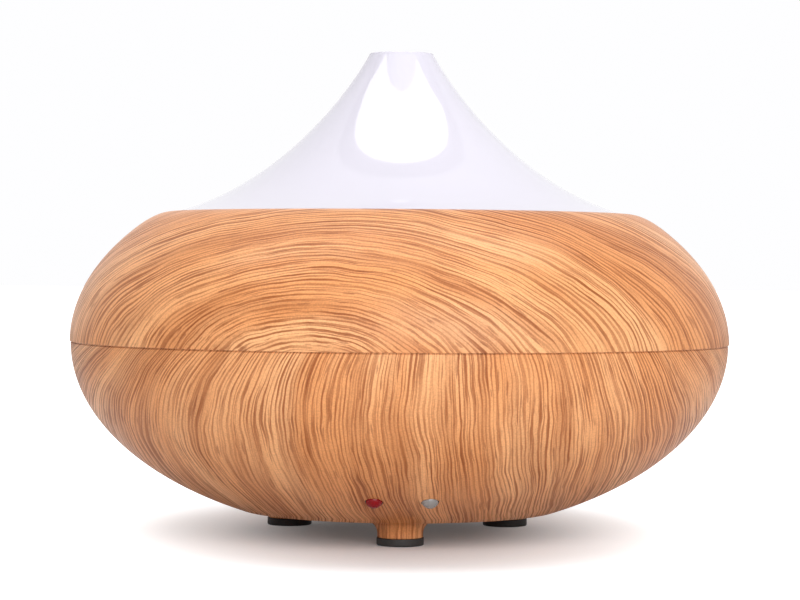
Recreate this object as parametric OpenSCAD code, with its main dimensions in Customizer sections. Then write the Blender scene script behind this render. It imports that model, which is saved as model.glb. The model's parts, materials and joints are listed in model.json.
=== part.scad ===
// Cool mist humidifier: a flattened onion of two wood-look shells on three peg feet, with a
// glossy translucent cone on top. The cover lifts off a water tank that has an ultrasonic
// disc in its floor. A fan, the boards, two buttons and the power socket sit under the tank.
// Origin: on the table, under the middle of the body. Front is -Y, up is +Z. Millimetres.

/* [Body] */
// Widest diameter of the body
body_d = 168; // [160:1:205]
// Height of the widest line, where the cover meets the base
seam_z = 48.5; // [47:0.5:52]
// Height from the widest line to the pole of the body's oval
body_half_h = 48.6; // [47:0.1:52]
// Height of the flat underside above the table
belly_z = 6; // [5:0.1:6.5]
// Height of the top edge of the upper shell
rim_z = 81.6; // [78:0.1:84]
// Overall height
total_h = 122.5; // [116:0.5:150]
// Wall of the two wood-look shells
shell_t = 2.2; // [1.8:0.1:2.8]
// Gap that shows between the cover and the base
seam_gap = 0.3; // [0.2:0.05:0.6]
// Width of the flat land between the upper shell's edge and its mouth
rim_land = 4.2; // [3.4:0.1:6]

/* [Mist cone] */
// Outer radius of the nozzle's mouth
nozzle_r = 8.3; // [7:0.1:10]
// Wall of the cone
cone_t = 1.8; // [1.4:0.1:2.4]
// Slope of the nozzle's side, from upright
nozzle_slope = 27.9; // [20:0.5:35]
// Slope of the cone's skirt where it meets the shell, from level
skirt_slope = 15.7; // [8:0.5:20]
// Outer radius of the splash guard's tube
guard_r = 9.8; // [8:0.1:11]
// Wall of the splash guard
guard_t = 1.4; // [1:0.1:2]
// Radius of the splash guard's bell at its foot
bell_r = 22; // [16:0.5:23]

/* [Water tank] */
// Radius of the bowl at its top
bowl_r = 66; // [60:0.5:70]
// How much narrower the bowl is at its floor
bowl_draft = 4; // [2:0.5:8]
// Height of the room for the fan and the boards, from the shell's floor to the tank
works_h = 19.8; // [19.4:0.1:22.4]
// Wall of the tank
tank_t = 2; // [1.6:0.1:2.6]
// Height of the highest water level above the floor
fill_depth = 12; // [8:0.5:14]
// How far the locating lip stands above the seam
lip_h = 3.5; // [2.5:0.5:6]
// Thickness of the seal under the tank's flange
seal_t = 1.2; // [0.8:0.1:2]
// Height of the air tower above the tank's floor
tower_h = 28; // [20:1:32]
// Inner radius of the air tower
tower_r = 6.5; // [5:0.1:7.5]

/* [Ultrasonic disc] */
// Diameter of the disc
disc_d = 20; // [16:0.5:24]
// Thickness of the disc
disc_t = 1.2; // [0.8:0.1:1.6]

/* [Feet] */
// Radius of the circle that the three feet stand on
foot_circle_r = 32.7; // [31:0.1:36]
// Radius of each peg
peg_r = 5.6; // [5:0.1:6.6]
// Radius of the flare where a peg grows out of the shell
peg_flare = 3.2; // [1.5:0.1:4]
// Radius of each rubber pad
pad_r = 5.8; // [4.8:0.1:7]
// Thickness of each rubber pad
pad_t = 1.9; // [1.2:0.1:3]

/* [Fan] */
// Side of the square fan
fan_size = 30; // [25:1:31]
// Thickness of the fan
fan_t = 10; // [8:0.5:10]
// Number of blades
fan_blades = 7; // [5:1:9]
// Gap between the shell's floor and the fan, for the dust filter
fan_lift = 3.8; // [3:0.1:4]

/* [Buttons] */
// Distance between the two buttons
button_pitch = 13.2; // [12:0.1:15]
// Distance of the buttons from the body's axis
button_out = 56.3; // [54:0.1:60]
// Diameter of each button's dome
button_d = 3.9; // [3:0.1:5]
// How far a button's dome stands proud
button_proud = 1.3; // [1:0.1:2]
// How far a button travels
button_travel = 0.6; // [0.3:0.05:0.8]

/* [Power socket] */
// Height of the socket's axis
jack_z = 22.5; // [21:0.5:23]
// Radius of the recess that takes the plug's grip
recess_r = 5.5; // [5:0.1:6.2]
// Radius of the socket
socket_r = 2.9; // [2.6:0.05:3.2]
// Radius of the socket's centre pin
jack_pin_r = 1; // [0.8:0.05:1.3]

/* [Hidden] */

$fn = 64;
body_r = body_d / 2;
arc_steps = 16; // chords in each long curve of a shell
eps = 0.01; // how far a cut runs past the face it opens
fit_gap = 0.4; // slide clearance between the cover and the tank's lip
glue_gap = 0.2; // clearance of bonded and snapped pieces
screw_gap = 0.03; // clearance of a screw in its hole

// Heights in the base, from the table up
shell_floor_z = belly_z + shell_t;
tank_under_z = shell_floor_z + works_h;
tank_floor_z = tank_under_z + tank_t;
flange_top_z = seam_z - 1.2;
flange_z = flange_top_z - tank_t;
ledge_t = 1.8;
ledge_top_z = flange_z - seal_t;
boss_joint_z = shell_floor_z + 2.8; // where the shell's bosses meet the tank's
lip_r = oval_r(seam_z + lip_h, shell_t) - fit_gap;
mouth_r = oval_r(rim_z) - rim_land;

// Feet, their bosses and the screws in them
foot_angles = [-90, 30, 150];
boss_r = 3.6;
housing_screw_r = 1.5;
housing_head_r = 3.2;
housing_head_h = 2;
housing_screw_reach = 12; // how far the screws go into the tank's bosses
pad_spigot_h = 1;
head_seat_z = belly_z - 0.8;

// Ultrasonic disc and what clamps it
disc_r = disc_d / 2;
port_r = disc_r - 1.5;
seal_wall = 2;
seal_r = disc_r + seal_wall;
collar_r = seal_r + 5;
collar_h = 4.4;
collar_z = tank_under_z - collar_h;
seal_top_z = tank_under_z - 0.6;
disc_z = seal_top_z - 1 - disc_t;
electrode_t = 0.5;
clamp_t = 1;
clamp_screw_out = seal_r + 2.4;
clamp_angles = [30, 150, 270];

// Light ring
led_board_t = 1.2;
led_h = 1.6;
led_side = 5;
led_board_z = tank_under_z - led_h - 0.6 - led_board_t;
led_in_r = collar_r + 1.5;
led_out_r = led_in_r + 9;
led_mid_r = (led_in_r + led_out_r) / 2;
led_angles = [-20, -60, -120, 200, 48, 132];
led_screw_angles = [-90, 12, 168];

// Fan, filter and duct
fan_y = 34;
fan_z = shell_floor_z + fan_lift;
fan_top_z = fan_z + fan_t;
fan_hole_out = fan_size / 2 - 3;
fan_bore_r = fan_size / 2 - 0.8;
fan_screw_r = 1.2;
duct_plate_t = 1.4;
gasket_t = 1;
tower_t = 1.5;
slot_w = 2.2;
slot_pitch = 3.8;
intake_y = fan_y - 5; // middle of the slots and of the filter over them

// Buttons: the outward normal of the shell where they stand
button_x = button_pitch / 2;
button_r = button_d / 2;
button_z = seam_z - body_half_h * sqrt(1 - pow(button_out / body_r, 2));
button_y = -sqrt(pow(button_out, 2) - pow(button_x, 2));
button_tilt = atan2(body_half_h * button_out / body_r,
    body_r * sqrt(1 - pow(button_out / body_r, 2)));
button_hole_gap = 0.2;
flange_gap = 0.4; // between a button's flange and the wall in front of it
button_flange_t = 0.8;
button_flange_r = button_r + 0.9;
switch_side = 6;
switch_h = 3.5;
stem_end = shell_t + flange_gap + button_flange_t + 1.4; // depth where a stem meets its switch
plunger_h = 0.9;
board_depth = stem_end + plunger_h + switch_h; // depth of the control board's face
control_board_t = 1.2;
control_board_w = 32;
control_board_d = 12;
post_x = 13.4;
post_r = 2.1;
small_screw_r = 0.9;

// Drive board and what stands on it
drive_w = 54;
drive_d = 28;
drive_t = 1.6;
drive_y = -26.5;
drive_z = shell_floor_z + 3.8;
drive_top_z = drive_z + drive_t;
standoff_r = 2.2;
standoff_inset = 3;

// Power socket
jack_w = 9;
jack_l = 9.8;
jack_half_h = 4.5;
web_t = 1.2;
recess_wall = 1.8;
jack_face_y = sqrt(pow(oval_r(jack_z - jack_half_h, shell_t), 2) - pow(jack_w / 2, 2)) - 0.4;
jack_back_y = jack_face_y - jack_l;

// Ends and routes of the leads inside the base: points between the ends are round numbers
lead_r = 0.6;
lead_z = drive_top_z + 2.9; // height at which leads enter the connectors
connector_face_y = drive_y + 10;
control_back = -board_depth - control_board_t;
transducer_routes = [for (side = [1, -1]) concat(
    [[3 * side, 0, disc_z - electrode_t], [3 * side, 0, collar_z - 1.5]],
    [[3 * side, -3, 20], [2 * side, -9, 18]],
    into_connector(side))];
fan_routes = [for (side = [0, 1]) concat(
    [[7 - 2 * side, fan_y - fan_size / 2 + 2, fan_z + 1], [7 - 2 * side, 16, fan_z + 1]],
    [[12 - 2 * side, 6, 14], [13 - 2 * side, -4, 15.5]],
    into_connector(13 - 2 * side))];
led_routes = [for (side = [0, 1]) concat(
    [[-20 - 2 * side, -12, led_board_z], [-20 - 2 * side, -12, led_board_z - 2.5]],
    [[-17 - 2 * side, -13, 18.5]],
    into_connector(-12 - 2 * side))];
jack_routes = [for (side = [0, 1]) concat(
    [for (x = [0, 2]) [jack_w / 2 + x, jack_back_y + 2, jack_z - 1.5 + 3 * side]],
    [[12, jack_back_y + 1, 21.5 + 3 * side], [19, 46, 21 + 3 * side], [23, 37, 19 + 3 * side]],
    [[35, 24, 17 + 3 * side], [37, 12, 16.5 + 3 * side], [34, -4, 16 + 3 * side], [27, -11, 16 + 1.5 * side]],
    into_connector(18 + 2 * side))];
ribbon_routes = [for (i = [0:3]) let (x = (i - 1.5) * 1.6) [
    on_controls(x, -4.4, control_back), on_controls(x, -4.4, control_back - 1.4),
    [x, -43, 20.8], [x, -40.4, 18.6], [x, -39.4, 16], [x, -39.4, drive_top_z]]];

// The last stretch of a lead, straight into the connector that holds place x
function into_connector(x) =
    [[x, connector_face_y + 2, lead_z], [x, connector_face_y, lead_z]];

// A point given in the frame of the two buttons, in the body's own frame
function on_controls(x, y, z) =
    let (turn = 180 - button_tilt)
    [x, button_y + y * cos(turn) - z * sin(turn), button_z + y * sin(turn) + z * cos(turn)];

// Radius of the body's oval at height z, or of the oval that lies inset inside it
function oval_r(z, inset = 0) =
    (body_r - inset) * sqrt(max(0, 1 - pow((z - seam_z) / (body_half_h - inset), 2)));

// Height of the lower half of that oval at radius r
function oval_under_z(r, inset = 0) =
    seam_z - (body_half_h - inset) * sqrt(max(0, 1 - pow(r / (body_r - inset), 2)));

// Points along the oval from height z0 to z1
function oval_arc(z0, z1, inset = 0, steps = arc_steps) =
    let (a0 = asin((z0 - seam_z) / (body_half_h - inset)),
        a1 = asin((z1 - seam_z) / (body_half_h - inset)))
    [for (i = [0:steps]) let (a = a0 + (a1 - a0) * i / steps)
        [(body_r - inset) * cos(a), seam_z + (body_half_h - inset) * sin(a)]];

// Points on an arc of radius r round c, from angle a0 to a1
function arc_points(c, r, a0, a1, steps = 6) =
    [for (i = [0:steps]) let (a = a0 + (a1 - a0) * i / steps) c + r * [cos(a), sin(a)]];

// Points on a cubic curve with these four control points
function cubic(p0, p1, p2, p3, steps = arc_steps) =
    [for (i = [0:steps]) let (t = i / steps, s = 1 - t)
        s * s * s * p0 + 3 * s * s * t * p1 + 3 * s * t * t * p2 + t * t * t * p3];

// The same line moved d to the left of its own direction
function moved_left(line, d) =
    [for (i = [0:len(line) - 1])
        let (v = line[min(i + 1, len(line) - 1)] - line[max(i - 1, 0)])
        line[i] + d * [-v[1], v[0]] / norm(v)];

function reversed(list) = [for (i = [len(list) - 1:-1:0]) list[i]];

// ---------- shared shapes ----------

// A solid ring or tube
module tube(outer_r, inner_r, h) {
    difference() {
        cylinder(r = outer_r, h = h);
        translate([0, 0, -eps]) cylinder(r = inner_r, h = h + 2 * eps);
    }
}

// Everything inside the base's oval, inset from its outside, up to the seam
module base_oval(inset) {
    rotate_extrude($fn = 128)
        polygon(concat([[0, belly_z]], oval_arc(belly_z, seam_z, inset), [[0, seam_z]]));
}

// Puts its children at each foot
module at_feet() {
    for (a = foot_angles) rotate(a) translate([foot_circle_r, 0, 0]) children();
}

// A pan-head screw, pointing down, with the underside of its head at height 0
module screw(shank_r, length, head_r, head_h) {
    translate([0, 0, -length]) cylinder(r = shank_r, h = length, $fn = 24);
    difference() {
        cylinder(r = head_r, h = head_h, $fn = 32);
        for (a = [0, 90]) rotate(a)
            translate([-head_r * 0.6, -head_r * 0.12, head_h * 0.55])
                cube([head_r * 1.2, head_r * 0.24, head_h]);
    }
}

// A square with rounded corners, centred, standing on height 0
module rounded_plate(side, corner_r, h) {
    for (turn = [0, 90]) rotate(turn)
        translate([-side / 2 + corner_r, -side / 2, 0]) cube([side - 2 * corner_r, side, h]);
    for (x = [-1, 1], y = [-1, 1])
        translate([x, y, 0] * (side / 2 - corner_r)) cylinder(r = corner_r, h = h, $fn = 32);
}

// Puts its children on the outside of the shell at one button, with +Z pointing out of it
module at_button(x) {
    translate([x, button_y, button_z]) rotate([180 - button_tilt, 0, 0]) children();
}

// Puts its children on the line between the buttons, in the same way
module at_controls() {
    at_button(0) children();
}

// A wire of radius r along the points of a route
module wire(route, r = lead_r, sides = 8) {
    last = len(route) - 1;
    rings = [for (i = [0:last])
        let (v = route[min(i + 1, last)] - route[max(i - 1, 0)],
            along = v / norm(v),
            side = cross(along, [0.31, 0.17, 0.94]),
            u = side / norm(side),
            w = cross(along, u))
        for (k = [0:sides - 1]) route[i] + r * (cos(360 * k / sides) * u + sin(360 * k / sides) * w)];
    walls = [for (i = [0:last - 1], k = [0:sides - 1])
        let (a = i * sides + k, b = i * sides + (k + 1) % sides)
        for (face = [[a, b, b + sides], [a, b + sides, a + sides]]) face];
    start = [for (k = [sides - 1:-1:0]) k];
    end = [for (k = [0:sides - 1]) last * sides + k];
    polyhedron(points = rings, faces = [for (f = concat([start], walls, [end])) reversed(f)]);
}

// ---------- the cover that lifts off ----------

module upper_shell() {
    top_r = oval_r(rim_z);
    shoulder_z = rim_z - 1.6; // where the rounding of the top edge begins
    under_z = rim_z - shell_t;
    color("peru") {
        rotate_extrude($fn = 128)
            polygon(concat(
                oval_arc(seam_z + seam_gap / 2, shoulder_z),
                [[top_r - 0.1, rim_z - 0.6], [top_r - 1.6, rim_z - 0.08], [top_r - 2.6, rim_z]],
                [[mouth_r + 0.5, rim_z], [mouth_r, rim_z - 0.5], [mouth_r, under_z]],
                oval_arc(under_z, seam_z + seam_gap / 2, shell_t)));
        intersection() {
            cover_ribs();
            rotate_extrude($fn = 128)
                polygon(concat([[0, seam_z]], oval_arc(seam_z, rim_z, shell_t / 2), [[0, rim_z]]));
        }
    }
}

// Ribs inside the cover that sit on the tank's lip and carry the cover's weight
module cover_ribs() {
    rib_w = 2;
    rib_h = 6;
    for (a = [0:60:300]) rotate(a)
        translate([lip_r - tank_t, -rib_w / 2, seam_z + lip_h]) cube([body_r - lip_r, rib_w, rib_h]);
}

// The cone's outer line, from the nozzle down to the shell's mouth
cone_foot_r = mouth_r - glue_gap;
cone_rise = total_h - rim_z;
cone_line = cubic(
    [nozzle_r, total_h - 0.5],
    [nozzle_r, total_h - 0.5] + cone_rise * 0.2 * [sin(nozzle_slope), -cos(nozzle_slope)],
    [cone_foot_r, rim_z] - cone_rise * 0.71 * [cos(skirt_slope), -sin(skirt_slope)],
    [cone_foot_r, rim_z], 24);
cone_flange_r = oval_r(rim_z - shell_t, shell_t) - fit_gap;
cone_flange_in_r = cone_foot_r - cone_t;
cone_inside = moved_left(cone_line, -cone_t);

// The collar inside the cone that the splash guard snaps into
snap_in_r = guard_r + glue_gap / 2;
snap_out_r = snap_in_r + cone_t;
snap_h = 8.8; // height of the collar's outside
guard_room = 3.4; // between the guard's top edge and the cone
collar_foot_z = lookup(snap_out_r, cone_inside) - snap_h;
guard_top_z = lookup(snap_in_r, cone_inside) - guard_room;

module mist_cone() {
    mouth_in_r = nozzle_r - cone_t;
    color("white") rotate_extrude($fn = 128)
        polygon(concat(
            [[mouth_in_r, total_h - 0.4], [mouth_in_r + 0.4, total_h], [nozzle_r - 0.5, total_h]],
            cone_line,
            [[cone_foot_r, rim_z - shell_t], [cone_flange_r, rim_z - shell_t],
                [cone_flange_r, rim_z - shell_t - cone_t],
                [cone_flange_in_r, rim_z - shell_t - cone_t]],
            reversed([for (p = cone_inside) if (p[0] > snap_out_r && p[0] < cone_flange_in_r) p]),
            [[snap_out_r, lookup(snap_out_r, cone_inside)], [snap_out_r, collar_foot_z],
                [snap_in_r, collar_foot_z], [snap_in_r, lookup(snap_in_r, cone_inside)]],
            reversed([for (p = cone_inside) if (p[0] < snap_in_r && p[1] < total_h - 1) p])));
}

module splash_guard() {
    bell_z = seam_z + 5.5;
    flare_z = bell_z + 14;
    flare_w = bell_r - guard_r;
    outer_flare = [for (i = [0:8]) let (a = 78 * i / 8)
        [guard_r + flare_w * (1 - cos(a)) / (1 - cos(78)), flare_z - 14 * sin(a) / sin(78)]];
    color("gainsboro") rotate_extrude($fn = 96)
        polygon(concat(
            [[guard_r - guard_t, guard_top_z], [guard_r, guard_top_z], [guard_r, collar_foot_z],
                [guard_r + cone_t, collar_foot_z], [guard_r + cone_t, collar_foot_z - guard_t],
                [guard_r, collar_foot_z - guard_t]],
            outer_flare,
            reversed([for (p = outer_flare) p - [guard_t, 0]])));
}

// ---------- the base ----------

module lower_shell() {
    ledge_in_r = lip_r - 3.6;
    brace_z = ledge_top_z - ledge_t - 3.6;
    color("peru") difference() {
        union() {
            rotate_extrude($fn = 128)
                polygon(concat(
                    [[0, belly_z]],
                    oval_arc(belly_z, seam_z - seam_gap / 2),
                    [[oval_r(seam_z - seam_gap / 2, shell_t), seam_z - seam_gap / 2],
                        [oval_r(ledge_top_z, shell_t), ledge_top_z], [ledge_in_r, ledge_top_z],
                        [ledge_in_r, ledge_top_z - ledge_t]],
                    oval_arc(brace_z, shell_floor_z, shell_t),
                    [[0, shell_floor_z]]));
            intersection() {
                shell_bosses();
                base_oval(shell_t / 2);
            }
            at_feet() peg();
        }
        at_feet() peg_bore();
        for (x = [-1, 1]) at_button(x * button_x) translate([0, 0, -shell_t * 2])
            cylinder(r = button_r + button_hole_gap, h = shell_t * 3, $fn = 32);
        plug_recess();
        intake_slots();
        shell_screw_holes();
    }
}

// Bosses, pillars and posts that stand on the inside of the lower shell
module shell_bosses() {
    at_feet() translate([0, 0, belly_z]) cylinder(r = boss_r, h = boss_joint_z - belly_z);
    at_fan_corners() translate([0, 0, belly_z]) cylinder(r = standoff_r, h = fan_z - belly_z);
    at_drive_corners() translate([0, 0, belly_z]) cylinder(r = standoff_r, h = drive_z - belly_z);
    at_control_posts() translate([0, 0, -board_depth]) cylinder(r = post_r, h = board_depth);
    translate([-jack_w / 2, jack_back_y, belly_z])
        cube([jack_w, jack_l - 1, jack_z - jack_half_h - belly_z]);
    translate([0, jack_face_y, jack_z]) rotate([-90, 0, 0])
        cylinder(r = recess_r + recess_wall, h = body_r);
}

// The part of a foot that belongs to the shell
module peg() {
    flare_bite = 0.15; // how far the flare's arc runs into the shell
    rotate_extrude()
        polygon(concat(
            [[0, pad_t], [peg_r, pad_t]],
            arc_points([peg_r + peg_flare, belly_z + flare_bite - peg_flare], peg_flare, 180, 90),
            [[peg_r + peg_flare, belly_z + shell_t / 3], [0, belly_z + shell_t / 3]]));
}

// The screw's hole, and the pocket for its head and for the pad's spigot
module peg_bore() {
    translate([0, 0, pad_t - eps]) cylinder(r = housing_head_r + 0.9, h = head_seat_z - pad_t + eps);
    translate([0, 0, head_seat_z - eps])
        cylinder(r = housing_screw_r + screw_gap, h = boss_joint_z - head_seat_z + 2 * eps, $fn = 32);
}

// The recess in the back for the plug's grip, and the hole in its web for the plug's barrel
module plug_recess() {
    translate([0, jack_face_y + web_t, jack_z]) rotate([-90, 0, 0]) cylinder(r = recess_r, h = body_r);
    translate([0, jack_face_y - eps, jack_z]) rotate([-90, 0, 0])
        cylinder(r = socket_r + 0.3, h = web_t + 2 * eps, $fn = 32);
}

// Slots in the underside that let air in below the fan
module intake_slots() {
    for (i = [-2:2]) {
        half = 9 - abs(i);
        translate([i * slot_pitch - slot_w / 2, intake_y - half, belly_z - eps])
            cube([slot_w, 2 * half, shell_t + 2 * eps]);
    }
}

module shell_screw_holes() {
    at_fan_corners() translate([0, 0, fan_z - 2.2])
        cylinder(r = fan_screw_r + screw_gap, h = 2.2 + eps, $fn = 24);
    at_drive_corners() translate([0, 0, drive_z - 3])
        cylinder(r = small_screw_r + screw_gap, h = 3 + eps, $fn = 24);
    at_control_posts() translate([0, 0, -board_depth - eps])
        cylinder(r = small_screw_r + screw_gap, h = 4, $fn = 24);
}

module at_fan_corners() {
    for (x = [-1, 1], y = [-1, 1])
        translate([x * fan_hole_out, fan_y + y * fan_hole_out, 0]) children();
}

module at_drive_corners() {
    for (x = [-1, 1], y = [-1, 1])
        translate([x * (drive_w / 2 - standoff_inset), drive_y + y * (drive_d / 2 - standoff_inset), 0])
            children();
}

module at_control_posts() {
    for (x = [-1, 1]) at_controls() translate([x * post_x, 0, 0]) children();
}

module foot_pad(a) {
    color("dimgray") rotate(a) translate([foot_circle_r, 0, 0])
        rotate_extrude()
            polygon([[0, 0], [pad_r - 0.4, 0], [pad_r, 0.4], [pad_r, pad_t],
                [housing_head_r + 0.7, pad_t], [housing_head_r + 0.7, pad_t + pad_spigot_h],
                [0, pad_t + pad_spigot_h]]);
}

module housing_screws() {
    length = boss_joint_z - head_seat_z + housing_screw_reach;
    color("silver") at_feet() translate([0, 0, head_seat_z]) mirror([0, 0, 1])
        screw(housing_screw_r, length, housing_head_r, housing_head_h);
}

module water_tank() {
    floor_r = bowl_r - bowl_draft;
    fillet = 8;
    under_fillet = fillet + tank_t;
    bowl_top_z = flange_top_z - 0.7;
    color("whitesmoke") difference() {
        union() {
            rotate_extrude($fn = 128)
                polygon(concat(
                    [[0, tank_under_z]],
                    arc_points([floor_r - fillet, tank_under_z + under_fillet], under_fillet, -90, 0),
                    [[bowl_r + tank_t, flange_z], [lip_r, flange_z], [lip_r, seam_z + lip_h - 0.5],
                        [lip_r - 0.5, seam_z + lip_h], [lip_r - tank_t, seam_z + lip_h],
                        [lip_r - tank_t, flange_top_z], [bowl_r + 1.2, bowl_top_z],
                        [bowl_r, bowl_top_z - 0.9]],
                    reversed(arc_points([floor_r - fillet, tank_floor_z + fillet], fillet, -90, 0)),
                    [[disc_r + 8, tank_floor_z], [disc_r + 2, tank_floor_z - 1], [0, tank_floor_z - 1]]));
            translate([0, 0, collar_z]) cylinder(r = collar_r, h = collar_h + eps);
            at_feet() translate([0, 0, boss_joint_z])
                cylinder(r = boss_r, h = tank_under_z - boss_joint_z + eps);
            at_led_screws() translate([0, 0, led_board_z + led_board_t])
                cylinder(r = 2, h = tank_under_z - led_board_z - led_board_t + eps, $fn = 32);
            translate([0, fan_y, tank_under_z]) cylinder(r = tower_r + tower_t, h = tank_t + tower_h);
            fill_mark();
        }
        translate([0, 0, collar_z - eps]) cylinder(r = port_r, h = collar_h + tank_t + 1);
        translate([0, 0, collar_z - eps]) cylinder(r = seal_r + 0.1, h = seal_top_z - collar_z + eps);
        translate([0, fan_y, tank_under_z - eps]) cylinder(r = tower_r, h = tank_t + tower_h + 1);
        at_feet() translate([0, 0, boss_joint_z - eps])
            cylinder(r = housing_screw_r + screw_gap, h = housing_screw_reach + 1, $fn = 32);
        at_clamp_screws() translate([0, 0, collar_z - eps])
            cylinder(r = small_screw_r + screw_gap, h = 3, $fn = 24);
        at_led_screws() translate([0, 0, led_board_z + led_board_t - eps])
            cylinder(r = small_screw_r + screw_gap, h = 3, $fn = 24);
    }
}

// A raised line round the front of the bowl at the highest water level
module fill_mark() {
    z = tank_floor_z + fill_depth;
    wall_r = bowl_r - bowl_draft * (flange_top_z - z) / (flange_top_z - tank_floor_z - 8);
    rotate(-120) rotate_extrude(angle = 60, $fn = 128)
        polygon([[wall_r - 0.6, z], [wall_r + 1, z - 0.8], [wall_r + 1, z + 0.5], [wall_r - 0.6, z + 0.3]]);
}

module tank_seal() {
    color("lightgray") translate([0, 0, ledge_top_z]) tube(lip_r - 0.6, lip_r - 3.4, seal_t, $fn = 128);
}

// A cap that keeps splashes out of the air tower: a sleeve, four struts and a roof
module air_hood() {
    sleeve_r = tower_r - glue_gap / 2;
    top_z = tank_floor_z + tower_h;
    window_h = 4;
    color("whitesmoke") translate([0, fan_y, top_z]) {
        translate([0, 0, -5]) tube(sleeve_r, sleeve_r - 1.2, 5);
        intersection() {
            translate([0, 0, -5]) tube(sleeve_r, sleeve_r - 1.2, 5 + window_h + eps);
            for (a = [45, 135]) rotate(a)
                translate([-sleeve_r, -1, -5]) cube([2 * sleeve_r, 2, 5 + window_h + eps]);
        }
        translate([0, 0, window_h])
            rotate_extrude() polygon([
                [0, 0], [tower_r + tower_t + 1, 0], [tower_r + tower_t + 1, 0.8], [tower_r, 1.6], [0, 2]]);
    }
}

// ---------- ultrasonic disc ----------

module transducer_disc() {
    color("goldenrod") translate([0, 0, disc_z]) {
        cylinder(r = disc_r, h = disc_t);
        translate([0, 0, -electrode_t]) cylinder(r = disc_r * 0.55, h = electrode_t + eps);
    }
}

module transducer_seal() {
    h = seal_top_z - collar_z;
    color("white") translate([0, 0, collar_z]) rotate_extrude()
        polygon([
            [port_r, 0], [seal_r, 0], [seal_r, h], [port_r, h], [port_r, h - 1],
            [disc_r, h - 1], [disc_r, h - 1 - disc_t], [port_r, h - 1 - disc_t]]);
}

module at_clamp_screws() {
    for (a = clamp_angles) rotate(a) translate([clamp_screw_out, 0, 0]) children();
}

module transducer_clamp() {
    color("silver") translate([0, 0, collar_z - clamp_t]) difference() {
        tube(collar_r - 0.6, port_r - 1.5, clamp_t);
        at_clamp_screws() translate([0, 0, -eps])
            cylinder(r = small_screw_r + 0.2, h = clamp_t + 2 * eps, $fn = 24);
    }
}

module clamp_screws() {
    color("silver") at_clamp_screws() translate([0, 0, collar_z - clamp_t]) mirror([0, 0, 1])
        screw(small_screw_r, clamp_t + 2.6, 1.7, 1.2);
}

// ---------- light ring ----------

module at_led_screws() {
    for (a = led_screw_angles) rotate(a) translate([led_mid_r, 0, 0]) children();
}

module led_board() {
    color("seagreen") difference() {
        translate([0, 0, led_board_z]) tube(led_out_r, led_in_r, led_board_t);
        translate([0, fan_y, led_board_z - 1]) cylinder(r = tower_r + tower_t + 3.6, h = led_board_t + 2);
        at_feet() translate([0, 0, led_board_z - 1]) cylinder(r = boss_r + 0.6, h = led_board_t + 2);
        at_led_screws() translate([0, 0, led_board_z - 1])
            cylinder(r = small_screw_r + 0.2, h = led_board_t + 2, $fn = 24);
    }
}

module color_leds() {
    color("white") for (a = led_angles) rotate(a)
        translate([led_mid_r - led_side / 2, -led_side / 2, led_board_z + led_board_t]) difference() {
            cube([led_side, led_side, led_h]);
            translate([led_side / 2, led_side / 2, led_h - 0.4])
                cylinder(r = led_side * 0.38, h = 1, $fn = 24);
        }
}

module led_board_screws() {
    color("silver") at_led_screws() translate([0, 0, led_board_z]) mirror([0, 0, 1])
        screw(small_screw_r, led_board_t + 2.4, 1.7, 1.2);
}

// ---------- fan ----------

hub_r = fan_size * 0.26;
hub_t = 1;
hub_top_z = fan_top_z - 0.8;
fan_floor_t = 1.2;
shaft_r = 1;
bearing_r = 2;
magnet_t = 0.7;

module fan_frame() {
    color("#222428") translate([0, fan_y, fan_z]) {
        difference() {
            rounded_plate(fan_size, 3, fan_t);
            translate([0, 0, -eps]) cylinder(r = fan_bore_r, h = fan_t + 2 * eps, $fn = 96);
            for (x = [-1, 1], y = [-1, 1])
                translate([x * fan_hole_out, y * fan_hole_out, -eps])
                    cylinder(r = fan_screw_r + 0.3, h = fan_t + 2 * eps, $fn = 24);
            translate([3, -fan_size / 2 - eps, -eps]) cube([6, 2, 2]);
        }
        difference() {
            cylinder(r = hub_r, h = fan_floor_t);
            translate([0, 0, -eps]) cylinder(r = bearing_r + 0.8, h = 3);
        }
        for (a = [30, 150, 270]) rotate(a) difference() {
            translate([hub_r - 1, -1, 0]) cube([fan_bore_r - hub_r + 1.3, 2, fan_floor_t]);
            translate([0, 0, -eps]) cylinder(r = hub_r - 0.5, h = 3);
        }
        tube(bearing_r + 1, bearing_r, fan_t - 3.4);
        cylinder(r = bearing_r + 0.9, h = 0.6);
    }
}

module fan_bearing() {
    color("darkgoldenrod") translate([0, fan_y, fan_z + 0.8])
        tube(bearing_r, shaft_r + 0.03, fan_t - 4.4, $fn = 48);
}

// Windings round the bearing tube, with four pole faces that look at the magnet
module fan_stator() {
    coil_h = fan_t - 5.4;
    pole_w = 2.8;
    pole_reach = hub_r - hub_t - magnet_t - 0.6;
    color("#b87333") translate([0, fan_y, fan_z + fan_floor_t + 0.6]) difference() {
        union() {
            cylinder(r = bearing_r + 2, h = coil_h);
            for (a = [45, 135]) rotate(a)
                translate([-pole_reach, -pole_w / 2, 0.6]) cube([2 * pole_reach, pole_w, coil_h - 1.2]);
        }
        translate([0, 0, -eps]) cylinder(r = bearing_r + 1, h = fan_t);
    }
}

module fan_rotor() {
    blade_z = fan_z + fan_floor_t + 0.6;
    blade_h = hub_top_z - blade_z;
    color("#303338") translate([0, fan_y, 0]) {
        difference() {
            translate([0, 0, blade_z]) cylinder(r = hub_r, h = blade_h);
            translate([0, 0, blade_z - eps]) cylinder(r = hub_r - hub_t, h = blade_h - hub_t + eps);
        }
        translate([0, 0, blade_z + blade_h / 2]) intersection() {
            translate([0, 0, -blade_h / 2]) tube(fan_bore_r - 0.6, hub_r - hub_t / 2, blade_h);
            for (i = [0:fan_blades - 1]) rotate(i * 360 / fan_blades)
                rotate([38, 0, 0]) translate([0, -0.5, -blade_h]) cube([fan_bore_r, 1, 2 * blade_h]);
        }
    }
}

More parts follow.
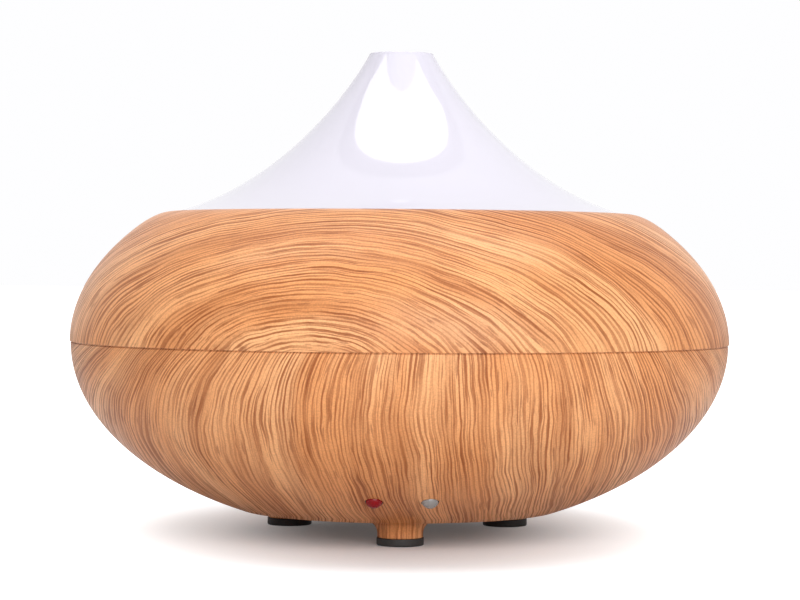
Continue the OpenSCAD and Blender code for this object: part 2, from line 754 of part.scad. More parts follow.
module fan_magnet() {
    color("#3c3c40") translate([0, fan_y, fan_z + fan_floor_t + 1])
        tube(hub_r - hub_t, hub_r - hub_t - magnet_t, fan_t - 4.6);
}

module fan_shaft() {
    color("silver") translate([0, fan_y, fan_z + 1])
        cylinder(r = shaft_r, h = hub_top_z - hub_t - fan_z - 1, $fn = 48);
}

module fan_screws() {
    color("silver") at_fan_corners() translate([0, 0, fan_top_z + duct_plate_t])
        screw(fan_screw_r, duct_plate_t + fan_t + 2, 2, 1.2);
}

module air_duct() {
    plate_r = fan_bore_r - 1;
    neck_z = tank_under_z - gasket_t - 1;
    color("whitesmoke") translate([0, fan_y, 0]) difference() {
        union() {
            translate([0, 0, fan_top_z]) rounded_plate(fan_size, 3, duct_plate_t);
            rotate_extrude()
                polygon([
                    [0, fan_top_z], [plate_r, fan_top_z], [plate_r, fan_top_z + duct_plate_t],
                    [tower_r + tower_t, neck_z], [tower_r + tower_t, tank_under_z - gasket_t],
                    [0, tank_under_z - gasket_t]]);
        }
        rotate_extrude()
            polygon([
                [0, fan_top_z - 1], [plate_r - 1, fan_top_z - 1], [plate_r - 1, fan_top_z + 0.6],
                [tower_r, neck_z - 0.5], [tower_r, tank_under_z], [0, tank_under_z]]);
        for (x = [-1, 1], y = [-1, 1])
            translate([x * fan_hole_out, y * fan_hole_out, fan_top_z - 1])
                cylinder(r = fan_screw_r + 0.3, h = duct_plate_t + 2, $fn = 24);
    }
}

module duct_gasket() {
    color("dimgray") translate([0, fan_y, tank_under_z - gasket_t])
        tube(tower_r + tower_t + 0.4, tower_r + 0.1, gasket_t);
}

module dust_filter() {
    frame_w = 0.8;
    filter_x = 2 * (fan_hole_out - standoff_r - 0.3);
    filter_y = 19;
    filter_t = 1.2;
    color("#26282b") translate([0, intake_y, shell_floor_z]) {
        difference() {
            translate([-filter_x / 2, -filter_y / 2, 0]) cube([filter_x, filter_y, filter_t]);
            translate([-filter_x / 2 + frame_w, -filter_y / 2 + frame_w, -eps])
                cube([filter_x - 2 * frame_w, filter_y - 2 * frame_w, filter_t + 2 * eps]);
        }
        for (i = [1:7]) translate([-filter_x / 2 + i * filter_x / 8 - 0.3, -filter_y / 2 + frame_w / 2, 0.2])
            cube([0.6, filter_y - frame_w, 0.4]);
        for (i = [1:6]) translate([-filter_x / 2 + frame_w / 2, -filter_y / 2 + i * filter_y / 7 - 0.3, 0.5])
            cube([filter_x - frame_w, 0.6, 0.4]);
    }
}

// ---------- drive board ----------

module drive_board() {
    color("seagreen") difference() {
        translate([-drive_w / 2, drive_y - drive_d / 2, drive_z]) cube([drive_w, drive_d, drive_t]);
        translate([0, -foot_circle_r, drive_z - 1]) cylinder(r = boss_r + 0.8, h = drive_t + 2);
        at_drive_corners() translate([0, 0, drive_z - 1])
            cylinder(r = small_screw_r + 0.2, h = drive_t + 2, $fn = 24);
    }
}

module board_screws() {
    color("silver") at_drive_corners() translate([0, 0, drive_top_z])
        screw(small_screw_r, drive_t + 2.4, 1.7, 1.2);
}

heat_sink_x = -14;
heat_sink_y = -29;

module heat_sink() {
    fins = 6;
    color("lightsteelblue") translate([heat_sink_x, heat_sink_y, drive_top_z]) {
        translate([-9, -1, 0]) cube([18, 2, 8]);
        for (i = [0:fins - 1]) translate([-9 + i * 16.8 / (fins - 1), 1 - eps, 0]) cube([1.2, 4, 8]);
    }
}

module power_transistor() {
    color("#1d1d20") translate([heat_sink_x, heat_sink_y - 1, drive_top_z]) {
        translate([-4.5, -3.6, 1.6]) cube([9, 3.6, 6]);
        for (x = [-2.4, 0, 2.4]) translate([x - 0.4, -2.2, 0]) cube([0.8, 0.6, 1.6 + eps]);
    }
}

module drive_inductor() {
    color("#b87333") translate([13, -25, drive_top_z]) {
        cylinder(r = 4.2, h = 1);
        translate([0, 0, 1 - eps]) cylinder(r = 3.2, h = 4 + 2 * eps);
        translate([0, 0, 5]) cylinder(r = 4.2, h = 1);
    }
}

module drive_capacitors() {
    color("#20304a") for (p = [[10, -36], [20, -34]])
        translate([p[0], p[1], drive_top_z]) {
            cylinder(r = 3, h = 0.8);
            translate([0, 0, 0.8 - eps]) cylinder(r = 3.15, h = 5.4);
        }
}

module board_connectors() {
    connector_d = 4;
    color("ivory") for (x = [0, 12, -13, 19])
        translate([x - 3, connector_face_y - connector_d, drive_top_z]) difference() {
            cube([6, connector_d, 4.5]);
            translate([0.8, 0.8, 1]) cube([4.4, connector_d - 1.6, 5]);
        }
}

// ---------- controls ----------

module control_board() {
    color("seagreen") at_controls() difference() {
        translate([-control_board_w / 2, -control_board_d / 2, -board_depth - control_board_t])
            cube([control_board_w, control_board_d, control_board_t]);
        for (x = [-1, 1]) translate([x * post_x, 0, -board_depth - 5])
            cylinder(r = small_screw_r + 0.2, h = 10, $fn = 24);
    }
}

module control_board_screws() {
    color("silver") at_control_posts() translate([0, 0, -board_depth - control_board_t]) mirror([0, 0, 1])
        screw(small_screw_r, control_board_t + 2.4, 1.7, 1.2);
}

plunger_r = 1.7;
plunger_well = 1.6; // how deep a plunger reaches into its switch at rest

module tact_switches() {
    color("#1c1c1e") for (x = [-1, 1]) at_button(x * button_x)
        translate([0, 0, -board_depth]) difference() {
            translate([-switch_side / 2, -switch_side / 2, 0]) cube([switch_side, switch_side, switch_h]);
            translate([0, 0, switch_h - plunger_well - button_travel - 0.2])
                cylinder(r = plunger_r + 0.08, h = plunger_well + button_travel + 1, $fn = 32);
        }
}

module indicator_leds() {
    color("white") for (x = [-1.8, 1.8]) at_controls() translate([x - 0.6, -1, -board_depth])
        cube([1.2, 2, 0.9]);
}

// A domed cap that passes through the shell, with a flange behind the wall and a stem
module button(x) {
    dome_h = button_proud - 0.1;
    dome_r = (button_r * button_r + dome_h * dome_h) / (2 * dome_h);
    half = asin(button_r / dome_r);
    flange_top = -shell_t - flange_gap;
    at_button(x) rotate_extrude($fn = 48)
        polygon(concat(
            [[0, -stem_end], [1.2, -stem_end], [1.2, flange_top - button_flange_t],
                [button_flange_r, flange_top - button_flange_t], [button_flange_r, flange_top],
                [button_r, flange_top]],
            arc_points([0, button_proud - dome_r], dome_r, 90 - half, 90, 8)));
}

module switch_plunger(x) {
    at_button(x) translate([0, 0, -stem_end - plunger_h - plunger_well])
        cylinder(r = plunger_r, h = plunger_h + plunger_well, $fn = 32);
}

// ---------- power socket ----------

module dc_jack() {
    color("#1a1a1c") translate([0, jack_face_y, jack_z]) difference() {
        translate([-jack_w / 2, -jack_l, -jack_half_h]) cube([jack_w, jack_l, 2 * jack_half_h]);
        rotate([90, 0, 0]) translate([0, 0, -eps]) cylinder(r = socket_r, h = jack_l - 1.2 + eps, $fn = 48);
    }
}

module jack_pin() {
    color("silver") translate([0, jack_back_y + 1.2, jack_z]) rotate([-90, 0, 0])
        cylinder(r = jack_pin_r, h = jack_l - 1.8, $fn = 32);
}

// ---------- leads ----------

module leads(shades, routes) {
    for (i = [0:len(routes) - 1]) color(shades[i]) wire(routes[i]);
}

upper_shell();
mist_cone();
splash_guard();
lower_shell();
water_tank();
tank_seal();
air_hood();
foot_pad(foot_angles[0]);  // foot_pad_front
foot_pad(foot_angles[1]);  // foot_pad_right
foot_pad(foot_angles[2]);  // foot_pad_left
housing_screws();
transducer_disc();
transducer_seal();
transducer_clamp();
clamp_screws();
led_board();
color_leds();
led_board_screws();
fan_frame();
fan_bearing();
fan_stator();
fan_rotor();
fan_magnet();
fan_shaft();
fan_screws();
air_duct();
duct_gasket();
dust_filter();
drive_board();
heat_sink();
power_transistor();
drive_inductor();
drive_capacitors();
board_connectors();
board_screws();
control_board();
tact_switches();
indicator_leds();
control_board_screws();
color("darkred") button(-button_x);  // mist_button
color("gray") switch_plunger(-button_x);  // mist_switch_plunger
color("lightgray") button(button_x);  // light_button
color("gray") switch_plunger(button_x);  // light_switch_plunger
dc_jack();
jack_pin();
leads(["red", "white"], transducer_routes);  // transducer_leads
leads(["red", "black"], fan_routes);  // fan_leads
leads(["blue", "white"], led_routes);  // led_leads
leads(["red", "black"], jack_routes);  // jack_leads
leads(["gray", "gray", "gray", "gray"], ribbon_routes);  // button_leads
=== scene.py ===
# %% [markdown]
# # A tabletop cool mist humidifier
#
# The object is a flattened onion: two shells with a printed wood film, a glossy white cone on
# top, and three peg feet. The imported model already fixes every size, joint and mount. This
# lesson gives it its looks: it replaces the shells, the cone, the splash guard, the tank, the
# pads, the buttons and the leads with finer meshes, and gives every other part of the packed
# model a finish of its own.

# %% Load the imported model
import json
import math

import bmesh
import bpy
import numpy as np
from mathutils import Matrix, Vector


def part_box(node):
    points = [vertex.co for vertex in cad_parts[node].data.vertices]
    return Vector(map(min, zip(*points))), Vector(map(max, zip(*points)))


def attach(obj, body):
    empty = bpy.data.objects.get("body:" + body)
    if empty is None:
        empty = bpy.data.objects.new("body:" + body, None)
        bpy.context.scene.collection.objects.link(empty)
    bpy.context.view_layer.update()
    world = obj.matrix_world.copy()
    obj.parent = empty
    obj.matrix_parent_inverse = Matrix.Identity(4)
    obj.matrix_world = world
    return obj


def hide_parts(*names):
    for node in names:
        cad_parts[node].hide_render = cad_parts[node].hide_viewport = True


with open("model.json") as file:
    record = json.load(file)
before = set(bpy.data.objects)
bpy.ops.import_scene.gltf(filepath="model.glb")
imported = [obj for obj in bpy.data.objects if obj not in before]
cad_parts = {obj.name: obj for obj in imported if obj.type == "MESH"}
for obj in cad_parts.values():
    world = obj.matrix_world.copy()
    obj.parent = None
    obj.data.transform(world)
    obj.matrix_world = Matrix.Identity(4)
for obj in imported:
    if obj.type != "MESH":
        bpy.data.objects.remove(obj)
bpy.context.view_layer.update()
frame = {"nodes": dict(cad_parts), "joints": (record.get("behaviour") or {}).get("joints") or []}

# %% [markdown]
# ## The sizes that everything follows
#
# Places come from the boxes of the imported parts, so that a new piece lands where the old one
# was. A few sizes can't be read from a box, such as the height of the oval that the body's
# outline follows, and these are named here in millimetres.

# %% Read the driving sizes
mm = 0.001
body_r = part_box("upper_shell")[1].x
seam_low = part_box("lower_shell")[1].z
seam_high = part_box("upper_shell")[0].z
seam_z = (seam_low + seam_high) / 2
rim_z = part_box("upper_shell")[1].z
half_height = 48.6 * mm
belly_z = 6 * mm
wall = 2.2 * mm
pad_low, pad_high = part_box("foot_pad_front")
pad_r = (pad_high.x - pad_low.x) / 2
foot_circle = -(pad_low.y + pad_r)
foot_angles = {"front": -90, "right": 30, "left": 150}
print(f"body {2 * body_r / mm:.1f} mm across, seam at {seam_z / mm:.1f} mm")
print(f"feet {foot_circle / mm:.1f} mm from the middle")

# %% [markdown]
# ## The camera
#
# A product picture of a low, wide object is taken from just above the table with a long lens,
# so that its sides stay nearly parallel.

# %% Set up the camera
scene = bpy.context.scene
camera_data = bpy.data.cameras.new("camera")
camera_data.sensor_width = 36
camera_data.lens = 117.5
camera = bpy.data.objects.new("camera", camera_data)
scene.collection.objects.link(camera)
stand_off = 0.670
camera_z = 0.0692
aside = math.radians(-0.9)
camera.location = (stand_off * math.sin(aside), -stand_off * math.cos(aside), camera_z)
tilt_down = math.radians(0.84)
roll = math.radians(-0.4)
camera.rotation_euler = (math.pi / 2 - tilt_down, roll, aside)
scene.camera = camera
scene.view_settings.view_transform = "Standard"
print("camera", [round(v, 3) for v in camera.location], "lens", camera_data.lens)

# %% [markdown]
# ## The light
#
# The object stands in a white tent. One wide soft panel hangs overhead, and a second one stands
# above and behind the camera. The tent's roof round the upper panel is dark, its sides are dim,
# and its back wall is bright. A glossy cone mirrors all of that: the panel as a white patch, the
# roof as a darker frame round it, and the back wall as a pale glow further out. In front of the
# panel the roof glows a little, so that the white patch gets weaker towards the nozzle. The
# bright wall also gives the wood its pale rim. The camera itself always sees plain white.

# %% Hang the panels
def hang_panel(name, radiance, size, place, target):
    """A soft rectangular light that looks at target and that the camera can't see."""
    data = bpy.data.lights.new(name, "AREA")
    data.shape = "RECTANGLE"
    data.size, data.size_y = size
    data.energy = radiance * math.pi * size[0] * size[1]
    holder = bpy.data.objects.new(name, data)
    scene.collection.objects.link(holder)
    holder.location = place
    holder.rotation_euler = (Vector(target) - Vector(place)).to_track_quat("-Z", "Y").to_euler()
    holder.visible_camera = False
    print(f"{name}: {data.energy:.1f} W")


hang_panel("roof_panel", 3.4, (1.22, 0.44), (-0.05, 0.04, 0.95), (-0.05, 0.04, 0))
hang_panel("front_panel", 4.2, (1.2, 0.8), (0.22, -1.08, 0.50), (0, 0, 0.04))

# %% [markdown]
# The tent and all the finishes are trees of nodes. Writing every node and link out would bury
# the idea, so three short helpers do it: one feeds a socket, one adds a node with its inputs,
# and one does arithmetic on numbers or patterns.

# %% Helpers for node trees
def connect(tree, value, socket):
    """Feeds a socket with another node's output, or with a plain value."""
    if isinstance(value, bpy.types.NodeSocket):
        tree.links.new(value, socket)
    else:
        socket.default_value = value


def add(tree, kind, inputs=None, **settings):
    """A node with its settings, and a number or a link for each named input."""
    made = tree.nodes.new(kind)
    for name, value in settings.items():
        setattr(made, name, value)
    for name, value in (inputs or {}).items():
        connect(tree, value, made.inputs[name])
    return made


def calc(tree, operation, *values):
    """One step of arithmetic on numbers or on patterns."""
    made = add(tree, "ShaderNodeMath", operation=operation)
    for socket, value in zip(made.inputs, values):
        connect(tree, value, socket)
    return made.outputs[0]


print("node helpers ready")

# %% [markdown]
# The tent is painted by direction. Dividing a direction by its height tells how far to the side
# and how far back it would meet a flat roof one metre up, so a patch of the roof is two simple
# comparisons.

# %% Paint the tent
world = bpy.data.worlds.new("tent")
world.use_nodes = True
tent = world.node_tree
tent_light = tent.nodes["Background"]
heading = add(tent, "ShaderNodeTexCoord").outputs["Generated"]
direction = add(tent, "ShaderNodeSeparateXYZ", {0: heading}).outputs
height = calc(tent, "MAXIMUM", direction["Z"], 0.02)
sideways = calc(tent, "ABSOLUTE", calc(tent, "DIVIDE", direction["X"], height))
backwards = calc(tent, "DIVIDE", direction["Y"], height)


def roof_patch(half_width, back_edge):
    """Is 1 on the roof within half_width of the middle and in front of back_edge, and 0 elsewhere."""
    near_middle = calc(tent, "LESS_THAN", sideways, half_width)
    in_front = calc(tent, "LESS_THAN", backwards, back_edge)
    return calc(tent, "MULTIPLY", near_middle, in_front)


side_light = 0.50
back_light = 1.0
roof_share = 0.15
glow_light = 0.5
towards_back = calc(tent, "MINIMUM", calc(tent, "MAXIMUM", direction["Y"], 0.0), 1.0)
walls = calc(tent, "MULTIPLY_ADD", towards_back, back_light - side_light, side_light)
dim_roof = calc(tent, "MULTIPLY_ADD", roof_patch(1.2, 0.54), roof_share - 1, 1.0)
before_panel = calc(tent, "MULTIPLY", roof_patch(0.62, -0.19), glow_light)
brightness = calc(tent, "MAXIMUM", calc(tent, "MULTIPLY", walls, dim_roof), before_panel)
tent_seen = add(tent, "ShaderNodeLightPath").outputs["Is Camera Ray"]
connect(tent, calc(tent, "MAXIMUM", brightness, tent_seen), tent_light.inputs["Strength"])
tent_light.inputs["Color"].default_value = (0.99, 0.99, 1.0, 1)
scene.world = world
print(f"tent: sides {side_light}, back {back_light}, roof {roof_share} of that")

# %% Lay the floor
floor_mesh = bpy.data.meshes.new("floor")
floor_half = 6
corners = [(-floor_half, -floor_half, 0), (floor_half, -floor_half, 0),
           (floor_half, floor_half, 0), (-floor_half, floor_half, 0)]
floor_mesh.from_pydata(corners, [], [(0, 1, 2, 3)])
floor = bpy.data.objects.new("floor", floor_mesh)
scene.collection.objects.link(floor)
print("floor", 2 * floor_half, "m across")

# %% [markdown]
# ## Small helpers for finishes
#
# Every finish starts from one shader, and is built up from the same few patterns: soft random
# spots, their range stretched, two colours mixed by them, and small dents in the surface. The
# spots are placed in millimetres, so that their size means the same on every piece.

# %% Helpers for node materials
def start_finish(name, roughness=0.5, **uniform):
    """A new material: its tree and its shader, with the values that are the same all over."""
    material = bpy.data.materials.new(name)
    material.use_nodes = True
    tree = material.node_tree
    shader = tree.nodes["Principled BSDF"]
    shader.inputs["Roughness"].default_value = roughness
    for socket, value in uniform.items():
        shader.inputs[socket.replace("_", " ")].default_value = value
    return material, tree, shader


def spread(tree, value, low, high, out_low=0.0, out_high=1.0):
    """Stretches the part of a pattern between low and high over a new range, with soft ends."""
    made = add(tree, "ShaderNodeMapRange", {"Value": value}, interpolation_type="SMOOTHSTEP")
    for name, number in (("From Min", low), ("From Max", high), ("To Min", out_low), ("To Max", out_high)):
        made.inputs[name].default_value = number
    return made.outputs[0]


def blend_colours(tree, amount, first, second):
    """Mixes two colours by an amount from 0 to 1."""
    made = add(tree, "ShaderNodeMix", data_type="RGBA")
    connect(tree, amount, made.inputs[0])
    for socket, colour in ((made.inputs[6], first), (made.inputs[7], second)):
        connect(tree, colour if isinstance(colour, bpy.types.NodeSocket) else (*colour, 1), socket)
    return made.outputs[2]


def place_in_mm(tree):
    """Where a point lies in the object's own frame, in millimetres."""
    where = add(tree, "ShaderNodeTexCoord").outputs["Object"]
    return add(tree, "ShaderNodeVectorMath", {0: where, 3: 1 / mm}, operation="SCALE").outputs[0]


def speckle(tree, vector, scale, detail=2.0, rough=0.5):
    """Soft random spots, about one over scale across."""
    settings = {"Vector": vector, "Scale": scale, "Detail": detail, "Roughness": rough}
    return add(tree, "ShaderNodeTexNoise", settings).outputs[0]


def dent(tree, shader, height, depth):
    """Lets a pattern raise and lower the surface by about depth, in millimetres."""
    made = add(tree, "ShaderNodeBump", {"Height": height, "Strength": 1.0, "Distance": depth * mm})
    connect(tree, made.outputs[0], shader.inputs["Normal"])


print("finish helpers ready")

# %% [markdown]
# ## The wood film
#
# The shells are moulded plastic under a printed film. A film has the look of a plank: broad
# warm bands, dark fibre lines about a millimetre apart that follow the grain, and ragged ends
# where the lines break. Random spots alone give lines that are too uneven, and a plain wave
# gives lines that are too even, so each line here is a wave that is pushed about and then broken
# up by spots that are stretched along the grain. The two shells differ only in which way is
# "across" and which way is "along".

# %% Streaks and fibre lines
def streaks(tree, grain, per_mm, length, detail=1.0, shift=0.0):
    """Spots that are about 1 / per_mm wide across the grain and length millimetres long."""
    across, along, deep = grain
    vector = add(tree, "ShaderNodeCombineXYZ", {
        0: calc(tree, "MULTIPLY_ADD", across, per_mm, shift),
        1: calc(tree, "DIVIDE", along, length),
        2: calc(tree, "DIVIDE", deep, 2 * length)}).outputs[0]
    return speckle(tree, vector, 1.0, detail)


def fibre_lines(tree, grain, pitch, length, fullness, shift):
    """Dark lines about pitch apart. They wander, and break after about length millimetres."""
    wander = calc(tree, "MULTIPLY", streaks(tree, grain, 0.22 / pitch, 3 * length, 1.0, shift), 1.8)
    turns = calc(tree, "MULTIPLY_ADD", grain[0], 1 / pitch, wander)
    wave = calc(tree, "SINE", calc(tree, "MULTIPLY", turns, 2 * math.pi))
    breaks = streaks(tree, grain, 0.8 / pitch, length, 2.0, shift + 17)
    mixed = calc(tree, "MULTIPLY_ADD", breaks, 2.4, calc(tree, "MULTIPLY", wave, 0.75))
    return spread(tree, mixed, 1.55 - fullness, 2.05 - fullness)


print("streaks and fibre lines ready")

# %% [markdown]
# The film is printed in layers, from the palest to the darkest: broad bands and ribbons first,
# then a fine and a coarse set of lines, and short dark pores last. The lines are also a little
# duller than the ground and lie a few hundredths of a millimetre lower, as on a real film.

# %% Print the film
film_pale = (0.90, 0.453, 0.205)
film_warm = (0.76, 0.32, 0.120)
film_line = (0.29, 0.075, 0.017)
film_pore = (0.20, 0.045, 0.012)


def print_wood(name, find_grain):
    """A satin wood film. find_grain gives the distances across and along the plank."""
    material, tree, shader = start_finish(name, roughness=0.36, Specular_IOR_Level=0.26)
    where = place_in_mm(tree)
    x, y, z = add(tree, "ShaderNodeSeparateXYZ", {0: where}).outputs
    across, along = find_grain(tree, x, y, z)
    drift = calc(tree, "MULTIPLY", speckle(tree, where, 0.03, 1.0), 5.0)
    ripple = calc(tree, "ADD", speckle(tree, where, 0.11, 1.0), drift)
    across = calc(tree, "ADD", across, ripple)
    rag = calc(tree, "MULTIPLY", streaks(tree, (across, along, y), 0.9, 8.0, 2.0, 41.0), 0.6)
    grain = (calc(tree, "ADD", across, rag), along, y)

    bands = spread(tree, streaks(tree, grain, 0.085, 80, 2.0), 0.36, 0.64)
    ribbons = spread(tree, streaks(tree, grain, 0.26, 45, 2.0, 7.0), 0.44, 0.66)
    strength = spread(tree, streaks(tree, grain, 0.11, 18, 2.0, 11.0), 0.30, 0.60, 0.50, 1.0)
    coarse = calc(tree, "MULTIPLY", fibre_lines(tree, grain, 1.40, 18, 0.00, 31.0), strength)
    fine = calc(tree, "MULTIPLY", fibre_lines(tree, grain, 0.85, 13, 0.20, 57.0), strength)
    pores = spread(tree, streaks(tree, grain, 1.6, 7.0, 1.0, 83.0), 0.63, 0.72)

    colour = blend_colours(tree, bands, film_pale, film_warm)
    colour = blend_colours(tree, calc(tree, "MULTIPLY", ribbons, 0.28), colour, film_line)
    colour = blend_colours(tree, calc(tree, "MULTIPLY", fine, 0.66), colour, film_line)
    colour = blend_colours(tree, calc(tree, "MULTIPLY", coarse, 0.78), colour, film_line)
    colour = blend_colours(tree, calc(tree, "MULTIPLY", pores, 0.45), colour, film_pore)
    grit = spread(tree, speckle(tree, where, 2.4, 2.0), 0.25, 0.75, 0.86, 1.06)
    colour = add(tree, "ShaderNodeVectorMath", {0: colour, 3: grit}, operation="SCALE").outputs[0]
    connect(tree, colour, shader.inputs["Base Color"])
    marks = calc(tree, "MAXIMUM", coarse, calc(tree, "MAXIMUM", fine, pores))
    connect(tree, calc(tree, "MULTIPLY_ADD", marks, 0.12, 0.32), shader.inputs["Roughness"])
    dent(tree, shader, calc(tree, "MULTIPLY", marks, -1.0), 0.025)
    return material


print("film colours:", film_pale, film_warm, film_line, film_pore)

# %% [markdown]
# The cover shows a plank cut through its growth rings: nested arches that stand on the seam.
# Across the grain is the distance from a point just under the seam, left of the middle, with
# the rings nearly twice as wide as they are high. Along the grain is the angle round that point.
#
# The film is wrapped round the shell, so a distance on the film follows the angle round the
# body. Twice the sine of half that angle is used in place of the angle itself: it is nearly the
# same in front, and its square is the same from both sides at the back, so the rings have the
# same radius there. The angle round the point isn't the same, so the lines wander and break
# differently on the two sides, and an upright joint shows at the back, as where a film's ends
# meet. Near the rim the shell turns inwards, so the height is stretched to follow the surface.

# %% Grain of the cover
def arched_grain(tree, x, y, z):
    """Rings round a point just under the seam, left of the middle."""
    ring_turn = math.radians(15)
    over_seam = calc(tree, "SUBTRACT", z, seam_z / mm)
    stretch = calc(tree, "MULTIPLY_ADD", calc(tree, "POWER", over_seam, 2.0), 0.00024, 1.0)
    up = calc(tree, "MULTIPLY_ADD", over_seam, stretch, 9.0)
    angle = calc(tree, "ARCTAN2", x, calc(tree, "MULTIPLY", y, -1.0))
    half_turn = calc(tree, "SINE", calc(tree, "MULTIPLY_ADD", angle, 0.5, ring_turn / 2))
    aside = calc(tree, "MULTIPLY", half_turn, 2 * body_r / mm / 1.75)
    squares = calc(tree, "MULTIPLY_ADD", up, up, calc(tree, "MULTIPLY", aside, aside))
    reach = calc(tree, "SQRT", squares)
    return reach, calc(tree, "MULTIPLY", calc(tree, "ARCTAN2", up, aside), 38.0)


film_arched = print_wood("film_arched", arched_grain)
print("wood film of the cover:", len(film_arched.node_tree.nodes), "nodes")

# %% [markdown]
# The base shows the side of the plank. Its lines drop from the seam, spread apart, and then
# sweep to the right as they go under the body. The sweep and the spread are both parabolas in
# the depth below the seam, and undoing them tells where on the seam a line started. The arc sine
# of that place is the arc round the shell, and it runs on without a jump to the back.

# %% Grain of the base
def wrapped(tree, x):
    """The arc round the shell, in millimetres, from the middle of its front to x."""
    share = calc(tree, "DIVIDE", x, 1.02 * body_r / mm)
    share = calc(tree, "MINIMUM", calc(tree, "MAXIMUM", share, -1.0), 1.0)
    return calc(tree, "MULTIPLY", calc(tree, "ARCSINE", share), body_r / mm)


def hanging_grain(tree, x, y, z):
    """Lines that hang from the seam and bend as they go under the body."""
    deepest = (seam_z - belly_z) / mm - 1.0
    depth = calc(tree, "MINIMUM", calc(tree, "SUBTRACT", seam_z / mm, z), deepest)
    squared = calc(tree, "MULTIPLY", depth, depth)
    sweep = calc(tree, "MULTIPLY", depth, 0.2)
    sweep = calc(tree, "SUBTRACT", sweep, calc(tree, "MULTIPLY", squared, 0.0075))
    fan_out = calc(tree, "MULTIPLY_ADD", depth, 0.0145, 1.0)
    fan_out = calc(tree, "SUBTRACT", fan_out, calc(tree, "MULTIPLY", squared, 0.00036))
    at_seam = calc(tree, "DIVIDE", calc(tree, "ADD", x, sweep), fan_out)
    return wrapped(tree, calc(tree, "MULTIPLY", at_seam, 0.97)), z


film_hanging = print_wood("film_hanging", hanging_grain)
print("wood film of the base:", len(film_hanging.node_tree.nodes), "nodes")

# %% [markdown]
# ## The other finishes
#
# Mouldings are never one flat colour: the surface is faintly pebbled, and the shade drifts a
# little. One function makes them all, each with its own colour, gloss and grain size.

# %% Plastics and rubbers
def moulded(name, colour, roughness, grain=1.6, depth=0.006, drift=0.06, **uniform):
    """A moulded surface with a fine pebble, and a slow drift in its shade."""
    material, tree, shader = start_finish(name, roughness, **uniform)
    where = place_in_mm(tree)
    slow = spread(tree, speckle(tree, where, 0.05, 2.0), 0.3, 0.7)
    darker = tuple(c * (1 - drift) for c in colour)
    connect(tree, blend_colours(tree, slow, colour, darker), shader.inputs["Base Color"])
    pebble = speckle(tree, where, grain, 3.0, 0.6)
    gloss = spread(tree, pebble, 0.3, 0.7, roughness * 0.9, roughness * 1.1)
    connect(tree, gloss, shader.inputs["Roughness"])
    dent(tree, shader, pebble, depth)
    return material


print("moulded finish ready")

# %% [markdown]
# Bare metal is told by its fine scratches, and metals differ in which way these run. A circuit
# board is told by its tracks, which stand up a little under the green mask.

# %% Metals and boards
def metal(name, colour, roughness, stretch=(1, 1, 12), grain=1.2, depth=0.003):
    """Bare metal with fine scratches that run along the axis with the small stretch."""
    material, tree, shader = start_finish(name, roughness, Metallic=1.0)
    where = place_in_mm(tree)
    lines = add(tree, "ShaderNodeVectorMath", {0: where, 1: stretch}, operation="MULTIPLY").outputs[0]
    scratches = speckle(tree, lines, grain, 3.0, 0.6)
    darker = tuple(c * 0.86 for c in colour)
    shade = blend_colours(tree, spread(tree, scratches, 0.35, 0.65), colour, darker)
    connect(tree, shade, shader.inputs["Base Color"])
    gloss = spread(tree, scratches, 0.3, 0.7, roughness * 0.75, roughness * 1.25)
    connect(tree, gloss, shader.inputs["Roughness"])
    dent(tree, shader, scratches, depth)
    return material


def laminate(name):
    """A green circuit board: tracks under solder mask, seen as slightly raised lines."""
    material, tree, shader = start_finish(name, 0.32)
    where = place_in_mm(tree)
    cells = add(tree, "ShaderNodeTexVoronoi", {"Vector": where, "Scale": 0.42}, distance="CHEBYCHEV",
                feature="DISTANCE_TO_EDGE")
    tracks = spread(tree, cells.outputs["Distance"], 0.05, 0.09, 1.0, 0.0)
    weave = speckle(tree, where, 3.0, 1.0)
    colour = blend_colours(tree, tracks, (0.012, 0.115, 0.045), (0.03, 0.22, 0.085))
    connect(tree, colour, shader.inputs["Base Color"])
    dent(tree, shader, calc(tree, "MULTIPLY_ADD", weave, 0.15, tracks), 0.02)
    return material


print("metal and board finishes ready")

